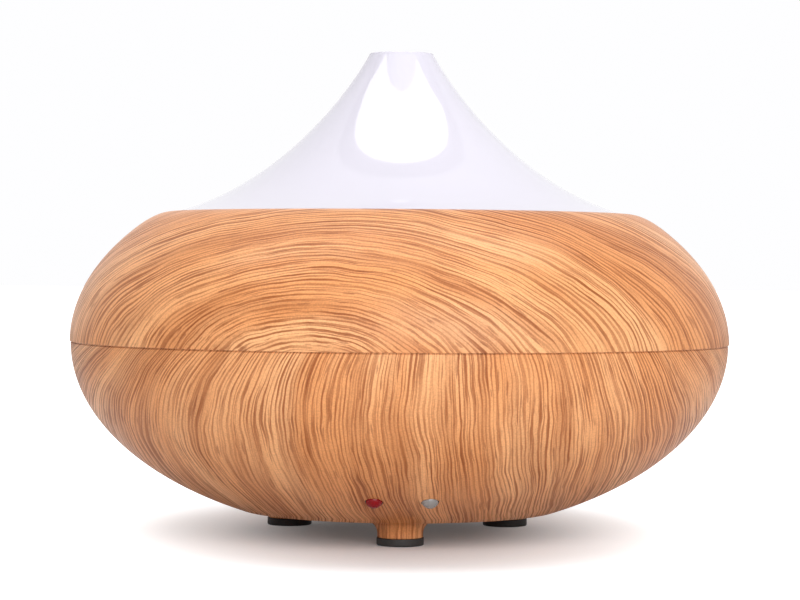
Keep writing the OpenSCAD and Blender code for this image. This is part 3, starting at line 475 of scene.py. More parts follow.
# %% Mix every finish
finishes = {
    "inner_abs": moulded("inner_abs", (0.72, 0.60, 0.47), 0.42),
    "opal": moulded("opal", (0.66, 0.636, 0.71), 0.07, grain=0.25, depth=0.0015, drift=0.012, IOR=1.5),
    "natural_pp": moulded("natural_pp", (0.80, 0.81, 0.80), 0.34, depth=0.004,
                          Subsurface_Weight=0.5, Subsurface_Scale=0.003),
    "pad_rubber": moulded("pad_rubber", (0.028, 0.026, 0.025), 0.62, grain=2.4, depth=0.03),
    "silicone": moulded("silicone", (0.74, 0.74, 0.72), 0.48,
                        Subsurface_Weight=0.4, Subsurface_Scale=0.002),
    "foam": moulded("foam", (0.05, 0.05, 0.055), 0.9, grain=3.0, depth=0.15),
    "fan_plastic": moulded("fan_plastic", (0.022, 0.022, 0.025), 0.38, grain=2.0, depth=0.01),
    "black_plastic": moulded("black_plastic", (0.018, 0.018, 0.02), 0.28, grain=2.5, depth=0.004),
    "led_body": moulded("led_body", (0.82, 0.82, 0.74), 0.25),
    "sleeve": moulded("sleeve", (0.02, 0.045, 0.14), 0.22, grain=0.8),
    "nylon": moulded("nylon", (0.78, 0.74, 0.60), 0.42),
    "magnet": moulded("magnet", (0.045, 0.045, 0.05), 0.55, grain=3.0, depth=0.02),
    "red_lens": moulded("red_lens", (0.27, 0.003, 0.006), 0.10, grain=0.6, drift=0.3,
                        Specular_IOR_Level=0.3),
    "clear_lens": moulded("clear_lens", (0.62, 0.60, 0.58), 0.08, drift=0.15,
                          Transmission_Weight=0.55, Coat_Weight=0.6),
    "red_lead": moulded("red_lead", (0.45, 0.015, 0.012), 0.35),
    "grey_lead": moulded("grey_lead", (0.20, 0.20, 0.21), 0.40),
    "steel": metal("steel", (0.66, 0.65, 0.62), 0.30),
    "disc_metal": metal("disc_metal", (0.74, 0.68, 0.52), 0.22, stretch=(1, 1, 1)),
    "bronze": metal("bronze", (0.56, 0.36, 0.17), 0.45, stretch=(1, 1, 1), grain=3.0),
    "copper": metal("copper", (0.74, 0.33, 0.16), 0.32, stretch=(0.4, 0.4, 5)),
    "alloy": metal("alloy", (0.78, 0.79, 0.81), 0.34, stretch=(5, 5, 0.5)),
    "board": laminate("board"),
}
print(len(finishes), "finishes beside the wood films")

# %% [markdown]
# ## Small helpers for meshes
#
# Nearly everything here was turned or moulded round an axis, so the main tool is a lathe: it
# takes the outline of a section, as points of radius and height, and spins it. The outline is
# a closed loop, which gives a watertight solid with real wall thickness. What isn't round,
# such as a hole in the side, is cut with a boolean. That leaves corners almost on top of each
# other, which are merged, and uneven faces that would catch the light, so the shells get their
# exact curved normals back afterwards.

# %% Outline helpers
def oval(z, inset=0.0):
    """Radius of the body's oval at height z, or of the oval inside it."""
    reach = 1 - ((z - seam_z) / (half_height - inset)) ** 2
    return (body_r - inset) * math.sqrt(max(0.0, reach))


def oval_arc(z_from, z_to, inset=0.0, steps=48):
    """Points along the oval between two heights, evenly spread round it."""
    tall = half_height - inset
    first = math.asin((z_from - seam_z) / tall)
    last = math.asin((z_to - seam_z) / tall)
    turns = [first + (last - first) * i / steps for i in range(steps + 1)]
    return [((body_r - inset) * math.cos(a), seam_z + tall * math.sin(a)) for a in turns]


def arc(centre, radius, start, end, steps=12):
    """Points on an arc, with its angles in degrees."""
    turns = [math.radians(start + (end - start) * i / steps) for i in range(steps + 1)]
    return [(centre[0] + radius * math.cos(a), centre[1] + radius * math.sin(a)) for a in turns]


def curve(points, steps=24):
    """Points on the smooth curve with these three or four control points."""
    line = []
    for i in range(steps + 1):
        t = i / steps
        row = [Vector(p) for p in points]
        while len(row) > 1:
            row = [a.lerp(b, t) for a, b in zip(row, row[1:])]
        line.append(tuple(row[0]))
    return line


def soften(corners, steps=5):
    """Rounds each corner (r, z, radius) of a closed outline, as far as its edges allow."""
    outline = []
    for i, (r, z, radius) in enumerate(corners):
        here = Vector((r, z))
        before = Vector(corners[i - 1][:2]) - here
        after = Vector(corners[(i + 1) % len(corners)][:2]) - here
        if radius == 0:
            outline.append((r, z))
            continue
        half_angle = before.angle(after) / 2
        back = min(radius / math.tan(half_angle), before.length * 0.49, after.length * 0.49)
        ends = [here + before.normalized() * back, here, here + after.normalized() * back]
        outline += curve(ends, steps)
    return outline


print("oval at the rim:", round(oval(rim_z) / mm, 2), "mm")

# %% Solids: the lathe, the box and the rod
def solid(name, mesh_builder):
    """An object from the closed mesh that mesh_builder fills in."""
    mesh = bpy.data.meshes.new(name)
    work = bmesh.new()
    mesh_builder(work)
    bmesh.ops.remove_doubles(work, verts=work.verts, dist=1e-7)
    bmesh.ops.recalc_face_normals(work, faces=work.faces)
    work.to_mesh(mesh)
    work.free()
    made = bpy.data.objects.new(name, mesh)
    scene.collection.objects.link(made)
    return made


def lathe(name, outline, turns=192, start=0.0, sweep=360.0):
    """Spins a closed outline of (radius, height) about the upright axis."""
    whole = abs(sweep - 360) < 1e-6
    count = turns if whole else turns + 1

    def build(work):
        rings = []
        for i in range(count):
            a = math.radians(start + sweep * i / turns)
            rings.append([work.verts.new((r * math.cos(a), r * math.sin(a), z)) for r, z in outline])
        pairs = [(i, (i + 1) % count) for i in range(turns)]
        for i, j in pairs:
            for k in range(len(outline)):
                n = (k + 1) % len(outline)
                corners = [rings[i][k], rings[j][k], rings[j][n], rings[i][n]]
                if outline[k][0] < 1e-9 and outline[n][0] < 1e-9:
                    continue
                if outline[k][0] < 1e-9:
                    corners = [rings[i][k], rings[j][n], rings[i][n]]
                elif outline[n][0] < 1e-9:
                    corners = [rings[i][k], rings[j][k], rings[i][n]]
                work.faces.new(corners)
        if not whole:
            work.faces.new(rings[0])
            work.faces.new(rings[-1])
    return solid(name, build)


def block(name, low, high):
    """A box between two corners, used only as a cutter or as a rib that is fused in."""
    def build(work):
        middle_of_box = (Vector(low) + Vector(high)) / 2
        size = Vector(high) - Vector(low)
        place = Matrix.Translation(middle_of_box) @ Matrix.Diagonal((*size, 1))
        bmesh.ops.create_cube(work, size=1, matrix=place)
    return solid(name, build)


def rod(name, radius, z_from, z_to, sides=48):
    """A round bar that stands on the axis."""
    return lathe(name, [(0, z_from), (radius, z_from), (radius, z_to), (0, z_to)], sides)


print("lathe, box and rod ready")

# %% Move, join and cut solids
def move(piece, matrix):
    """Puts a piece somewhere else by moving its points, so that its object stays at the origin."""
    piece.data.transform(matrix)
    return piece


def gather(name, parts):
    """Joins separate solids into one object."""
    work = bmesh.new()
    for part in parts:
        work.from_mesh(part.data)
        bpy.data.objects.remove(part)
    mesh = bpy.data.meshes.new(name)
    work.to_mesh(mesh)
    work.free()
    made = bpy.data.objects.new(name, mesh)
    scene.collection.objects.link(made)
    return made


def combine(piece, tool, operation):
    """Adds a tool to a piece (UNION), cuts it out (DIFFERENCE) or keeps what they share (INTERSECT)."""
    step = piece.modifiers.new("combine", "BOOLEAN")
    step.object = tool
    step.operation = operation
    step.solver = "EXACT"
    result = piece.evaluated_get(bpy.context.evaluated_depsgraph_get())
    mesh = bpy.data.meshes.new_from_object(result)
    piece.modifiers.clear()
    piece.data = mesh
    bpy.data.objects.remove(tool)
    return piece


def drop_slivers(piece, limit=0.002 * mm):
    """Merges the corners that booleans leave almost on top of each other, and counts open edges."""
    work = bmesh.new()
    work.from_mesh(piece.data)
    bmesh.ops.dissolve_degenerate(work, dist=limit, edges=work.edges)
    bmesh.ops.remove_doubles(work, verts=work.verts, dist=limit)
    open_edges = sum(not edge.is_manifold for edge in work.edges)
    work.to_mesh(piece.data)
    work.free()
    print(f"{piece.name}: {open_edges} open edges")


print("join and cut ready")

# %% Finish a piece and put it in place
def smooth(piece, crease=32.0):
    """Shades a piece smooth, and keeps every edge sharper than crease."""
    piece.data.shade_smooth()
    piece.data.set_sharp_from_angle(angle=math.radians(crease))
    return piece


def settle(piece, body, slot, finish, *nodes):
    """Rides a finished piece on its body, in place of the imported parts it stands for."""
    if not piece.data.materials:
        piece.data.materials.append(finish)
    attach(piece, body)
    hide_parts(*nodes)
    print(f"{piece.name}: {len(piece.data.polygons)} faces, on {body}")
    return piece


print("mesh helpers ready")

# %% [markdown]
# ### Exact normals on the shells
#
# A satin shell shows every fault in its shading as a ripple in the reflection. The outside of
# both shells is one oval, so its true normal is known at every point. Faces that lie on the
# oval get that normal, and all the others keep their own.

# %% Give the shells their true normals
def true_oval_normals(piece, radius):
    """Sets the exact normals on the faces that lie on the oval with this radius."""
    mesh = piece.data
    smooth(piece)
    normals = np.zeros(len(mesh.loops) * 3)
    mesh.corner_normals.foreach_get("vector", normals)
    normals = normals.reshape(-1, 3)
    points = np.zeros(len(mesh.vertices) * 3)
    mesh.vertices.foreach_get("co", points)
    points = points.reshape(-1, 3)
    scaled = (points - (0, 0, seam_z)) / (radius, radius, half_height)
    on_oval = np.abs(np.linalg.norm(scaled, axis=1) - 1) < 2e-4
    exact = scaled / (radius, radius, half_height)
    exact /= np.linalg.norm(exact, axis=1)[:, None]
    for face in mesh.polygons:
        corners = list(face.loop_indices)
        spots = list(face.vertices)
        if all(on_oval[v] for v in spots) and Vector(exact[spots[0]]).dot(face.normal) > 0.5:
            normals[corners] = exact[spots]
    mesh.normals_split_custom_set(normals.tolist())
    return int(on_oval.sum())


def line_inside(piece, inside, depth=0.8 * mm):
    """Gives the faces that aren't on the outside of the body a second, inner finish."""
    piece.data.materials.append(inside)
    second = len(piece.data.materials) - 1
    for face in piece.data.polygons:
        r = math.hypot(face.center.x, face.center.y)
        scaled = math.hypot(r / (body_r - depth), (face.center.z - seam_z) / (half_height - depth))
        if scaled < 1 and belly_z + depth < face.center.z < rim_z - depth:
            face.material_index = second


print("shading helpers ready")

# %% [markdown]
# ## The cover shell
#
# The cover is a ring of the oval, open at the top for the cone. Its top edge rolls over into a
# narrow flat land round the cone. Both edges at the seam are broken by about a tenth of a
# millimetre, and there is a narrow gap between them, which makes the seam read as a fine dark
# line. Six ribs inside stand on the tank's lip.

# %% Turn the cover shell
edge = 0.12 * mm
roll_z = rim_z - 4.2 * mm
mouth_r = 57.3 * mm
slope = (body_r / half_height) ** 2 * (roll_z - seam_z) / oval(roll_z)
roll_corner = (oval(roll_z) - slope * (rim_z - roll_z), rim_z)
roll_end = (mouth_r + 0.9 * mm, rim_z)
under_rim = rim_z - wall
cover_outline = (
    oval_arc(seam_high + edge, roll_z, steps=56)
    + curve([(oval(roll_z), roll_z), roll_corner, roll_end], 14)[1:]
    + arc((mouth_r + 0.5 * mm, rim_z - 0.5 * mm), 0.5 * mm, 90, 180, 5)
    + [(mouth_r, under_rim)]
    + oval_arc(under_rim, seam_high, wall, 40)
    + [(body_r - 1.6 * edge, seam_high), (body_r - 0.4 * edge, seam_high + 0.4 * edge)])
cover_shell = lathe("cover_shell", cover_outline, 256)
print("cover without its ribs:", len(cover_shell.data.polygons), "faces")

# %% Stand the ribs inside the cover
lip_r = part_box("water_tank")[1].x
rib_base = 52 * mm
rib_low = (lip_r - 2 * mm, -mm, rib_base)
rib_high = (body_r - 1.1 * mm, mm, rib_base + 6 * mm)
rib_parts = []
for k in range(6):
    rib = block("rib", rib_low, rib_high)
    rib_parts.append(move(rib, Matrix.Rotation(math.radians(60 * k), 4, "Z")))
inside_cover = [(0, seam_z)] + oval_arc(seam_z, under_rim, wall / 2, 24) + [(0, under_rim)]
rib_limit = lathe("rib_limit", inside_cover, 128)
ribs = combine(gather("ribs", rib_parts), rib_limit, "INTERSECT")
combine(cover_shell, ribs, "UNION")
drop_slivers(cover_shell)
print("points on the cover's oval:", true_oval_normals(cover_shell, body_r))
cover_shell.data.materials.append(film_arched)
line_inside(cover_shell, finishes["inner_abs"])
settle(cover_shell, "cover", "wood_film", film_arched, "upper_shell")

# %% [markdown]
# ## The base shell
#
# The base is the lower half of the oval, cut flat underneath. A ledge inside its top edge
# carries the tank, and a thin tongue closes the gap at the seam from behind. Three pegs flare
# into the underside. Each flare ends level with the outside of the body, so that no line shows
# there: under the flat part it ends flat, and on its outer side, where the body already curves
# up, it is drawn up with the curve.

# %% Turn the base shell and its pegs
base_r = body_r - 0.25 * mm
floor_z = belly_z + wall
ledge_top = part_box("tank_seal")[0].z
ledge_r = lip_r - 3.6 * mm
ledge_t = 1.8 * mm
brace_z = ledge_top - ledge_t - 3.6 * mm
squeeze = base_r / body_r
base_arc = [(r * squeeze, z) for r, z in oval_arc(belly_z, seam_low - edge, steps=72)]
base_outline = (
    [(0, belly_z)]
    + base_arc
    + [(base_r - 0.4 * edge, seam_low - 0.4 * edge), (base_r - 1.6 * edge, seam_low)]
    + [(base_r - 0.35 * mm, seam_low), (base_r - 0.35 * mm, seam_high - 0.02 * mm)]
    + [(oval(seam_low, wall), seam_high - 0.02 * mm), (oval(ledge_top, wall), ledge_top)]
    + [(ledge_r, ledge_top), (ledge_r, ledge_top - ledge_t)]
    + oval_arc(brace_z, floor_z, wall, 40)
    + [(0, floor_z)])
base_shell = lathe("base_shell", base_outline, 256)

peg_r = 5.6 * mm
flare = 3.2 * mm
pad_top = 1.9 * mm
peg_outline = (
    [(0, pad_top), (peg_r - 0.2 * mm, pad_top), (peg_r, pad_top + 0.2 * mm)]
    + arc((peg_r + flare, belly_z - flare), flare, 180, 91, 14)
    + [(peg_r + flare, belly_z + 0.7 * mm), (0, belly_z + 0.7 * mm)])


def at_foot(piece, angle):
    """Moves a piece that stands on the axis out to one of the feet."""
    out = Matrix.Rotation(math.radians(angle), 4, "Z") @ Matrix.Translation((foot_circle, 0, 0))
    return move(piece, out)


def follow_body(piece):
    """Draws the top of a peg up, where the body's outside curves up over it."""
    for point in piece.data.vertices:
        r = math.hypot(point.co.x, point.co.y)
        body_z = seam_z - half_height * math.sqrt(1 - (r / base_r) ** 2)
        share = min(1.0, (point.co.z - pad_top) / (belly_z - pad_top))
        point.co.z += share * max(0.0, body_z - belly_z)
    return piece


pegs = [follow_body(at_foot(lathe("peg", peg_outline, 96), a)) for a in foot_angles.values()]
combine(base_shell, gather("pegs", pegs), "UNION")
print("base with pegs:", len(base_shell.data.polygons), "faces")

# %% [markdown]
# Inside the base stand the bosses for the housing screws, the pillars under the fan and the
# drive board, two posts for the button board, and the rest and collar of the power socket. They
# are trimmed to the middle of the wall before they are fused in, so that none shows outside.

# %% Stand the bosses, pillars and posts inside the base
button_axis = Vector(next(j for j in frame["joints"] if j["name"] == "mist_press")["axis"])
button_out = 56.3 * mm
button_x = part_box("light_button")[1].x / 2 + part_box("light_button")[0].x / 2
button_y = -math.sqrt(button_out ** 2 - button_x ** 2)
button_z = seam_z - half_height * math.sqrt(1 - (button_out / body_r) ** 2)
button_r = 1.95 * mm


def at_button(piece, x):
    """Turns a piece whose +Z points out of the shell, and moves it to a button at x."""
    turn = (-button_axis).to_track_quat("Z", "X").to_matrix().to_4x4()
    return move(piece, Matrix.Translation((x, button_y, button_z)) @ turn)


def pillar_corners(node, inset):
    """The four corners of a part, seen from above, a little inside its box."""
    low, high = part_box(node)
    return [(x, y) for x in (low.x + inset, high.x - inset) for y in (low.y + inset, high.y - inset)]


jack_low, jack_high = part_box("dc_jack")
jack_z = (jack_low.z + jack_high.z) / 2


def at_socket(piece):
    """Turns a piece whose +Z points out of the back, and moves it to the power socket."""
    turn = Matrix.Rotation(-math.pi / 2, 4, "X")
    return move(piece, Matrix.Translation((0, jack_high.y, jack_z)) @ turn)


boss_r = 3.6 * mm
boss_top = 11 * mm
root_z = belly_z + mm
corner_in = 3 * mm
inner_parts = [at_foot(rod("boss", boss_r, root_z, boss_top), a) for a in foot_angles.values()]
for node in ("fan_frame", "drive_board"):
    for x, y in pillar_corners(node, corner_in):
        pillar = rod("pillar", 2.2 * mm, root_z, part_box(node)[0].z)
        inner_parts.append(move(pillar, Matrix.Translation((x, y, 0))))
post_out = 13.4 * mm
board_depth = 9.2 * mm
for x in (-post_out, post_out):
    post = at_button(rod("post", 2.1 * mm, -board_depth, 0), 0)
    inner_parts.append(move(post, Matrix.Translation((x, 0, 0))))
rest_low = (jack_low.x, jack_low.y, root_z)
rest_high = (jack_high.x, jack_high.y - mm, jack_low.z)
inner_parts.append(block("jack_rest", rest_low, rest_high))
inner_parts.append(at_socket(rod("collar", 7.3 * mm, 0, 30 * mm, 72)))
inside_base = [(0, belly_z)] + oval_arc(belly_z, seam_low, wall / 2, 32) + [(0, seam_low)]
inner_limit = lathe("limit", inside_base, 128)
fittings = combine(gather("inner_parts", inner_parts), inner_limit, "INTERSECT")
combine(base_shell, fittings, "UNION")
print("base with its bosses:", len(base_shell.data.polygons), "faces")

# %% [markdown]
# All the openings are cut in one go: the counterbored screw holes in the pegs, the two button
# holes, the recess for the plug, the air slots, and the screw holes in the pillars.

# %% Cut the openings of the base
cutters = []
head_r = 4.1 * mm
head_top = belly_z - 0.8 * mm
screw_r = 1.53 * mm
step_bore = [(0, pad_top - mm), (head_r, pad_top - mm), (head_r, head_top),
             (screw_r, head_top), (screw_r, boss_top + mm), (0, boss_top + mm)]
for angle in foot_angles.values():
    cutters.append(at_foot(lathe("bore", step_bore, 48), angle))
for x in (-button_x, button_x):
    cutters.append(at_button(rod("hole", button_r + 0.2 * mm, -4.4 * mm, 2 * mm), x))
web = 1.2 * mm
sleeve_r = 3.2 * mm
plug_r = 5.5 * mm
plug_deep = 20 * mm
recess_outline = [(0, -mm), (sleeve_r, -mm), (sleeve_r, web), (plug_r, web),
                  (plug_r, plug_deep), (0, plug_deep)]
cutters.append(at_socket(lathe("recess", recess_outline, 72)))
slot_w = 2.2 * mm
slot_pitch = 3.8 * mm
intake_y = (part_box("dust_filter")[0].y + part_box("dust_filter")[1].y) / 2
for i in range(-2, 3):
    half = (9 - abs(i)) * mm
    low = (i * slot_pitch - slot_w / 2, intake_y - half, belly_z - mm)
    cutters.append(block("slot", low, (low[0] + slot_w, intake_y + half, floor_z + mm)))
for node, hole_r, deep in (("fan_frame", 1.23, 2.2), ("drive_board", 0.93, 3.0)):
    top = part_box(node)[0].z
    for x, y in pillar_corners(node, corner_in):
        drill = rod("drill", hole_r * mm, top - deep * mm, top + mm, 24)
        cutters.append(move(drill, Matrix.Translation((x, y, 0))))
combine(base_shell, gather("cutters", cutters), "DIFFERENCE")
drop_slivers(base_shell)
print("points on the base's oval:", true_oval_normals(base_shell, base_r))
base_shell.data.materials.append(film_hanging)
line_inside(base_shell, finishes["inner_abs"])
settle(base_shell, "base", "wood_film", film_hanging, "lower_shell")

# %% [markdown]
# ## The mist cone
#
# The cone is one moulding of glossy opal plastic. Its outline is a single curve that leaves the
# nozzle steeply and lies nearly flat where it meets the shell. The inside follows the same
# curve one wall further in. A short collar hangs inside it to hold the splash guard, and a
# flange round its foot sits under the rim of the cover.

# %% Turn the cone
cone_low, cone_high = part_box("mist_cone")
nozzle_r = 8.3 * mm
cone_t = 1.8 * mm
foot_r = mouth_r - 0.2 * mm
rise = cone_high.z - rim_z
steep = math.radians(27.9)
shallow = math.radians(15.7)
lip = 0.45 * mm
top_point = Vector((nozzle_r, cone_high.z - lip))
foot_point = Vector((foot_r, rim_z))
cone_line = curve([
    top_point,
    top_point + 0.2 * rise * Vector((math.sin(steep), -math.cos(steep))),
    foot_point + 0.71 * rise * Vector((-math.cos(shallow), math.sin(shallow))),
    foot_point], 72)


def moved_in(line, distance):
    """The same line, moved to its inner side."""
    moved = []
    for i, point in enumerate(line):
        ahead = Vector(line[min(i + 1, len(line) - 1)])
        way = (ahead - Vector(line[max(i - 1, 0)])).normalized()
        moved.append((point[0] + distance * way.y, point[1] - distance * way.x))
    return moved


inner_line = moved_in(cone_line, cone_t)
guard_r = 9.8 * mm
snap_in = guard_r + 0.1 * mm
snap_out = snap_in + cone_t
flange_in = foot_r - cone_t
flange_out = cone_high.x
snap_z = cone_high.z - 18 * mm


def height_at(line, r):
    """Height of a falling line at radius r."""
    return float(np.interp(r, [p[0] for p in line], [p[1] for p in line]))


cone_outline = (
    [(nozzle_r - cone_t, cone_high.z - 2 * lip)]
    + arc((nozzle_r - cone_t + lip, cone_high.z - lip), lip, 180, 90, 6)
    + arc((nozzle_r - lip, cone_high.z - lip), lip, 90, 20, 6)
    + cone_line
    + [(foot_r, rim_z - wall), (flange_out, rim_z - wall)]
    + [(flange_out, cone_low.z), (flange_in, cone_low.z)]
    + [p for p in reversed(inner_line) if snap_out < p[0] < flange_in]
    + [(snap_out, height_at(inner_line, snap_out)), (snap_out, snap_z)]
    + [(snap_in, snap_z), (snap_in, height_at(inner_line, snap_in))]
    + [p for p in reversed(inner_line) if p[0] < snap_in and p[1] < cone_high.z - mm])
cone = smooth(lathe("cone", cone_outline, 224), 40)
settle(cone, "cover", "opal_gloss", finishes["opal"], "mist_cone")

# %% [markdown]
# ## The splash guard
#
# Inside the cone, a tube with a bell at its foot leads the mist up and lets big drops fall
# back. It is only seen when the cover is lifted, or down the nozzle.

# %% Turn the splash guard
guard_low, guard_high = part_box("splash_guard")
guard_t = 1.4 * mm
bell_r = guard_high.x
bell_tall = 14 * mm
bell_top = guard_low.z + bell_tall
bell_turn = math.radians(78)
bell_steps = 16
bell = []
for i in range(bell_steps + 1):
    a = bell_turn * i / bell_steps
    widen = (1 - math.cos(a)) / (1 - math.cos(bell_turn))
    drop = math.sin(a) / math.sin(bell_turn)
    bell.append((guard_r + (bell_r - guard_r) * widen, bell_top - bell_tall * drop))
stop_r = guard_r + cone_t
guard_outline = (
    [(guard_r - guard_t, guard_high.z), (guard_r, guard_high.z), (guard_r, snap_z)]
    + [(stop_r, snap_z), (stop_r, snap_z - guard_t), (guard_r, snap_z - guard_t)]
    + bell + [(r - guard_t, z) for r, z in reversed(bell)])
guard = smooth(lathe("guard_tube", guard_outline, 128))
settle(guard, "cover", "natural_pp", finishes["natural_pp"], "splash_guard")

# %% [markdown]
# ## The water tank
#
# With the cover off, the tank is what a person sees: a wide bowl in milky plastic, with a soft
# corner all round its floor, a shallow dish and a port over the ultrasonic disc, a raised line
# at the highest water level, and a tower that brings in the air.

# %% Turn the bowl
tank_t = 2 * mm
bowl_r = 66 * mm
draft = 4 * mm
tank_floor = 30 * mm
tank_under = tank_floor - tank_t
flange_top = seam_z - 1.2 * mm
flange_z = flange_top - tank_t
lip_top = seam_z + 3.5 * mm
fillet = 8 * mm
floor_r = bowl_r - draft
disc_r = 10 * mm
bowl_outline = (
    [(0, tank_under)]
    + arc((floor_r - fillet, tank_under + fillet + tank_t), fillet + tank_t, -90, 0, 16)
    + [(bowl_r + tank_t, flange_z), (lip_r, flange_z)]
    + arc((lip_r - 0.5 * mm, lip_top - 0.5 * mm), 0.5 * mm, 0, 90, 5)
    + arc((lip_r - tank_t + 0.4 * mm, lip_top - 0.4 * mm), 0.4 * mm, 90, 180, 4)
    + arc((lip_r - tank_t - 0.8 * mm, flange_top + 0.8 * mm), 0.8 * mm, 0, -90, 5)
    + [(bowl_r + 1.5 * mm, flange_top - 0.6 * mm)]
    + curve([(bowl_r + 1.2 * mm, flange_top - 0.65 * mm), (bowl_r, flange_top - 0.8 * mm),
             (bowl_r - 0.1 * mm, flange_top - 2.2 * mm)], 5)
    + arc((floor_r - fillet, tank_floor + fillet), fillet, 0, -90, 16)
    + curve([(disc_r + 9 * mm, tank_floor), (disc_r + 5 * mm, tank_floor),
             (disc_r + 2 * mm, tank_floor - mm)], 6)
    + [(0, tank_floor - mm)])
tank = lathe("tank", bowl_outline, 224)
print("bowl:", len(tank.data.polygons), "faces")

# %% [markdown]
# Under the bowl are a collar round the ultrasonic disc, the bosses for the housing screws, and
# three small bosses for the light ring. The air tower and the water line are inside it.

# %% Add the collar, the bosses, the tower and the water line
disc_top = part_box("transducer_seal")[1].z
collar_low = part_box("transducer_seal")[0].z
tower_y = (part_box("fan_shaft")[0].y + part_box("fan_shaft")[1].y) / 2
led_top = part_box("led_board")[1].z


def at_tower(piece):
    """Moves a piece from the axis to the air tower."""
    return move(piece, Matrix.Translation((0, tower_y, 0)))


def at_radius(piece, radius, angle):
    """Moves a piece from the axis out along one direction."""
    return move(piece, Matrix.Rotation(math.radians(angle), 4, "Z") @ Matrix.Translation((radius, 0, 0)))


root_top = tank_under + 0.5 * mm
ring_angles = (-90, 12, 168)
ring_out = 23 * mm
growths = [rod("collar", 17 * mm, collar_low, root_top, 96)]
growths += [at_foot(rod("boss", boss_r, boss_top, root_top), a) for a in foot_angles.values()]
growths += [at_radius(rod("boss", 2 * mm, led_top, root_top, 32), ring_out, a) for a in ring_angles]
tower_r = 8 * mm
tower_top = tank_floor + 28 * mm
tower_edge = 0.4 * mm
tower_outline = [(0, root_top), (tower_r, root_top), (tower_r, tower_top - tower_edge),
                 (tower_r - tower_edge, tower_top), (0, tower_top)]
growths.append(at_tower(lathe("tower", tower_outline, 64)))
mark_z = tank_floor + 12 * mm
mark_r = bowl_r - draft * (flange_top - mark_z) / (flange_top - tank_floor - fillet)
mark_in = mark_r - 0.6 * mm
mark_outline = [(mark_in, mark_z), (mark_r + mm, mark_z - 0.8 * mm),
                (mark_r + mm, mark_z + 0.6 * mm), (mark_in, mark_z + 0.3 * mm)]
growths.append(lathe("mark", mark_outline, 96, -120, 60))
combine(tank, gather("growths", growths), "UNION")
print("tank with its bosses:", len(tank.data.polygons), "faces")

# %% Cut the tank's port, bore and screw holes
seat_r = 12.1 * mm
port_r = 8.5 * mm
port_outline = [(0, collar_low - mm), (seat_r, collar_low - mm), (seat_r, disc_top),
                (port_r, disc_top), (port_r, tank_floor + mm), (0, tank_floor + mm)]
holes = [lathe("port", port_outline, 96)]
holes.append(at_tower(rod("bore", 6.5 * mm, tank_under - mm, tank_floor + 30 * mm, 64)))
for angle in foot_angles.values():
    holes.append(at_foot(rod("hole", screw_r, boss_top - mm, boss_top + 13 * mm, 32), angle))
small_screw_r = 0.93 * mm
for angle in (30, 150, 270):
    drill = rod("hole", small_screw_r, collar_low - mm, collar_low + 3 * mm, 24)
    holes.append(at_radius(drill, 14.4 * mm, angle))
for angle in ring_angles:
    drill = rod("hole", small_screw_r, led_top - mm, led_top + 1.5 * mm, 24)
    holes.append(at_radius(drill, ring_out, angle))
combine(tank, gather("holes", holes), "DIFFERENCE")
drop_slivers(tank)
smooth(tank, 30)
settle(tank, "base", "natural_pp", finishes["natural_pp"], "water_tank")

# %% [markdown]
# ## The pads and the buttons
#
# The pads are moulded in black rubber, with a small rounded edge. The buttons are two glossy
# domes that pass through the shell: a dark red one for the mist, and a clear one for the light.
# Each has a flange behind the wall that keeps it in.

# %% Turn the pads
pad_outline = soften([
    (0, 0, 0), (3.0 * mm, 0, 0.15 * mm), (3.2 * mm, 0.25 * mm, 0.1 * mm), (3.6 * mm, 0.25 * mm, 0.1 * mm),
    (3.8 * mm, 0, 0.15 * mm), (pad_r, 0, 0.45 * mm), (pad_r, pad_top, 0.2 * mm),
    (3.9 * mm, pad_top, 0), (3.9 * mm, pad_top + mm, 0.2 * mm), (0, pad_top + mm, 0)])
for side, angle in foot_angles.items():
    pad = at_foot(smooth(lathe("pad_" + side, pad_outline, 72)), angle)
    settle(pad, "base", "pad_rubber", finishes["pad_rubber"], "foot_pad_" + side)

# %% Turn the buttons
proud = 1.3 * mm
dome_tall = proud - 0.1 * mm
dome_r = (button_r ** 2 + dome_tall ** 2) / (2 * dome_tall)
dome_half = math.degrees(math.asin(button_r / dome_r))
flange_front = -wall - 0.4 * mm
flange_back = flange_front - 0.8 * mm
stem_end = flange_back - 1.4 * mm
button_outline = (
    [(0, stem_end), (1.2 * mm, stem_end), (1.2 * mm, flange_back), (button_r + 0.9 * mm, flange_back)]
    + [(button_r + 0.9 * mm, flange_front), (button_r, flange_front)]
    + arc((0, proud - dome_r), dome_r, 90 - dome_half, 90, 20))
for name, x, body, slot_name in (("red_dome", -button_x, "mist_key", "red_lens"),
                                 ("clear_dome", button_x, "light_key", "clear_lens")):
    dome = at_button(smooth(lathe(name, button_outline, 64), 50), x)
    node = "mist_button" if x < 0 else "light_button"
    settle(dome, body, slot_name, finishes[slot_name], node)

# %% [markdown]
# ## The wires
#
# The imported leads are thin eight-sided tubes. A copy of each, with its triangles joined into
# faces that run along the wire and shaded smooth, reads as round insulation, and still starts
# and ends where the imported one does.

# %% Round the leads
for node in ("transducer_leads", "fan_leads", "led_leads", "jack_leads", "button_leads"):
    source = frame["nodes"][node]
    wire = bpy.data.objects.new(node.replace("leads", "wires"), source.data.copy())
    scene.collection.objects.link(wire)
    work = bmesh.new()
    work.from_mesh(wire.data)
    bmesh.ops.remove_doubles(work, verts=work.verts, dist=1e-6)
    bmesh.ops.join_triangles(work, faces=work.faces, angle_face_threshold=0.7, angle_shape_threshold=0.7)
    work.to_mesh(wire.data)
    work.free()
    wire.data.materials.clear()
    wire.data.shade_smooth()
    finish = finishes["grey_lead"] if node in ("button_leads", "led_leads") else finishes["red_lead"]
    settle(wire, "base", "lead_insulation", finish, node)

# %% [markdown]
# ## Finishes for the parts that stay
#
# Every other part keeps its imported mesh, which is already right, and gets a finish in place of
# its plain colour.

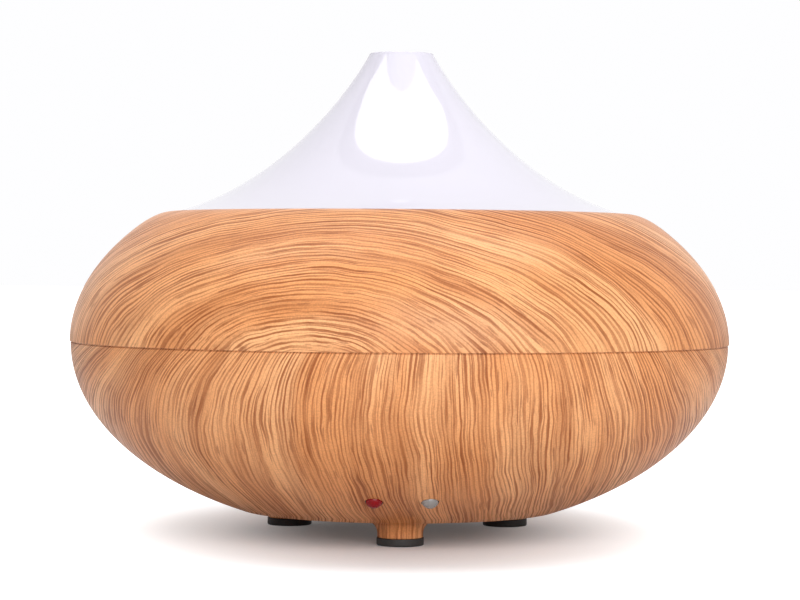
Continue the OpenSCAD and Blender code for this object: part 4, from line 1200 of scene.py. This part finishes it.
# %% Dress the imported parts
kept_finishes = {
    "natural_pp": ["air_hood", "air_duct"],
    "silicone": ["tank_seal", "transducer_seal"],
    "foam": ["duct_gasket"],
    "steel": ["housing_screws", "clamp_screws", "led_board_screws", "fan_screws", "board_screws",
              "control_board_screws", "transducer_clamp", "fan_shaft", "jack_pin"],
    "disc_metal": ["transducer_disc"],
    "board": ["led_board", "drive_board", "control_board"],
    "led_body": ["color_leds", "indicator_leds"],
    "fan_plastic": ["fan_frame", "fan_rotor", "dust_filter"],
    "bronze": ["fan_bearing"],
    "copper": ["fan_stator", "drive_inductor"],
    "magnet": ["fan_magnet"],
    "alloy": ["heat_sink"],
    "black_plastic": ["power_transistor", "tact_switches", "dc_jack"],
    "sleeve": ["drive_capacitors"],
    "nylon": ["board_connectors", "mist_switch_plunger", "light_switch_plunger"],
}
for finish, nodes in kept_finishes.items():
    for node in nodes:
        mesh = frame["nodes"][node].data
        mesh.materials.clear()
        mesh.materials.append(finishes[finish])
print(sum(len(nodes) for nodes in kept_finishes.values()), "packed parts dressed")

# %% [markdown]
# ## The floor's finish
#
# The floor is a sheet of matt plastic with a painted light added to it. The painted light is faint
# under the object and grows outwards in an oval, until the camera sees the sheet as plain white, so
# the shadow round the object is partly real shadow and partly painted shadow. Only the camera sees
# that painted light, and it throws no light on the object. The sheet is pale and a little blue,
# which cancels the warm light that the wood throws down on it.

# %% Dress the floor
sheet, sheet_tree, sheet_shader = start_finish("sheet", 0.9, Specular_IOR_Level=0.1)
spot = place_in_mm(sheet_tree)
fibres = speckle(sheet_tree, spot, 0.9, 3.0, 0.7)
connect(sheet_tree, blend_colours(sheet_tree, fibres, (0.70, 0.72, 0.745), (0.78, 0.80, 0.825)),
        sheet_shader.inputs["Base Color"])
# Painted light on the floor: weak under the object and full far out, in an oval, so the shadow there is
# partly painted.
painted_shadow_oval = (1.45, 0.68, 1.0)
pulled = add(sheet_tree, "ShaderNodeVectorMath", {0: spot, 1: painted_shadow_oval}, operation="MULTIPLY")
far_out = add(sheet_tree, "ShaderNodeVectorMath", {0: pulled.outputs[0]}, operation="LENGTH")
painted_floor_light = spread(sheet_tree, far_out.outputs["Value"], 20.0, 150.0, 0.055, 1.0)
sheet_seen = add(sheet_tree, "ShaderNodeLightPath").outputs["Is Camera Ray"]
painted_light_for_camera = calc(sheet_tree, "MULTIPLY", painted_floor_light, sheet_seen)
connect(sheet_tree, painted_light_for_camera, sheet_shader.inputs["Emission Strength"])
sheet_shader.inputs["Emission Color"].default_value = (1, 1, 1, 1)
floor.data.materials.append(sheet)
print("floor sheet:", len(sheet_tree.nodes), "nodes")
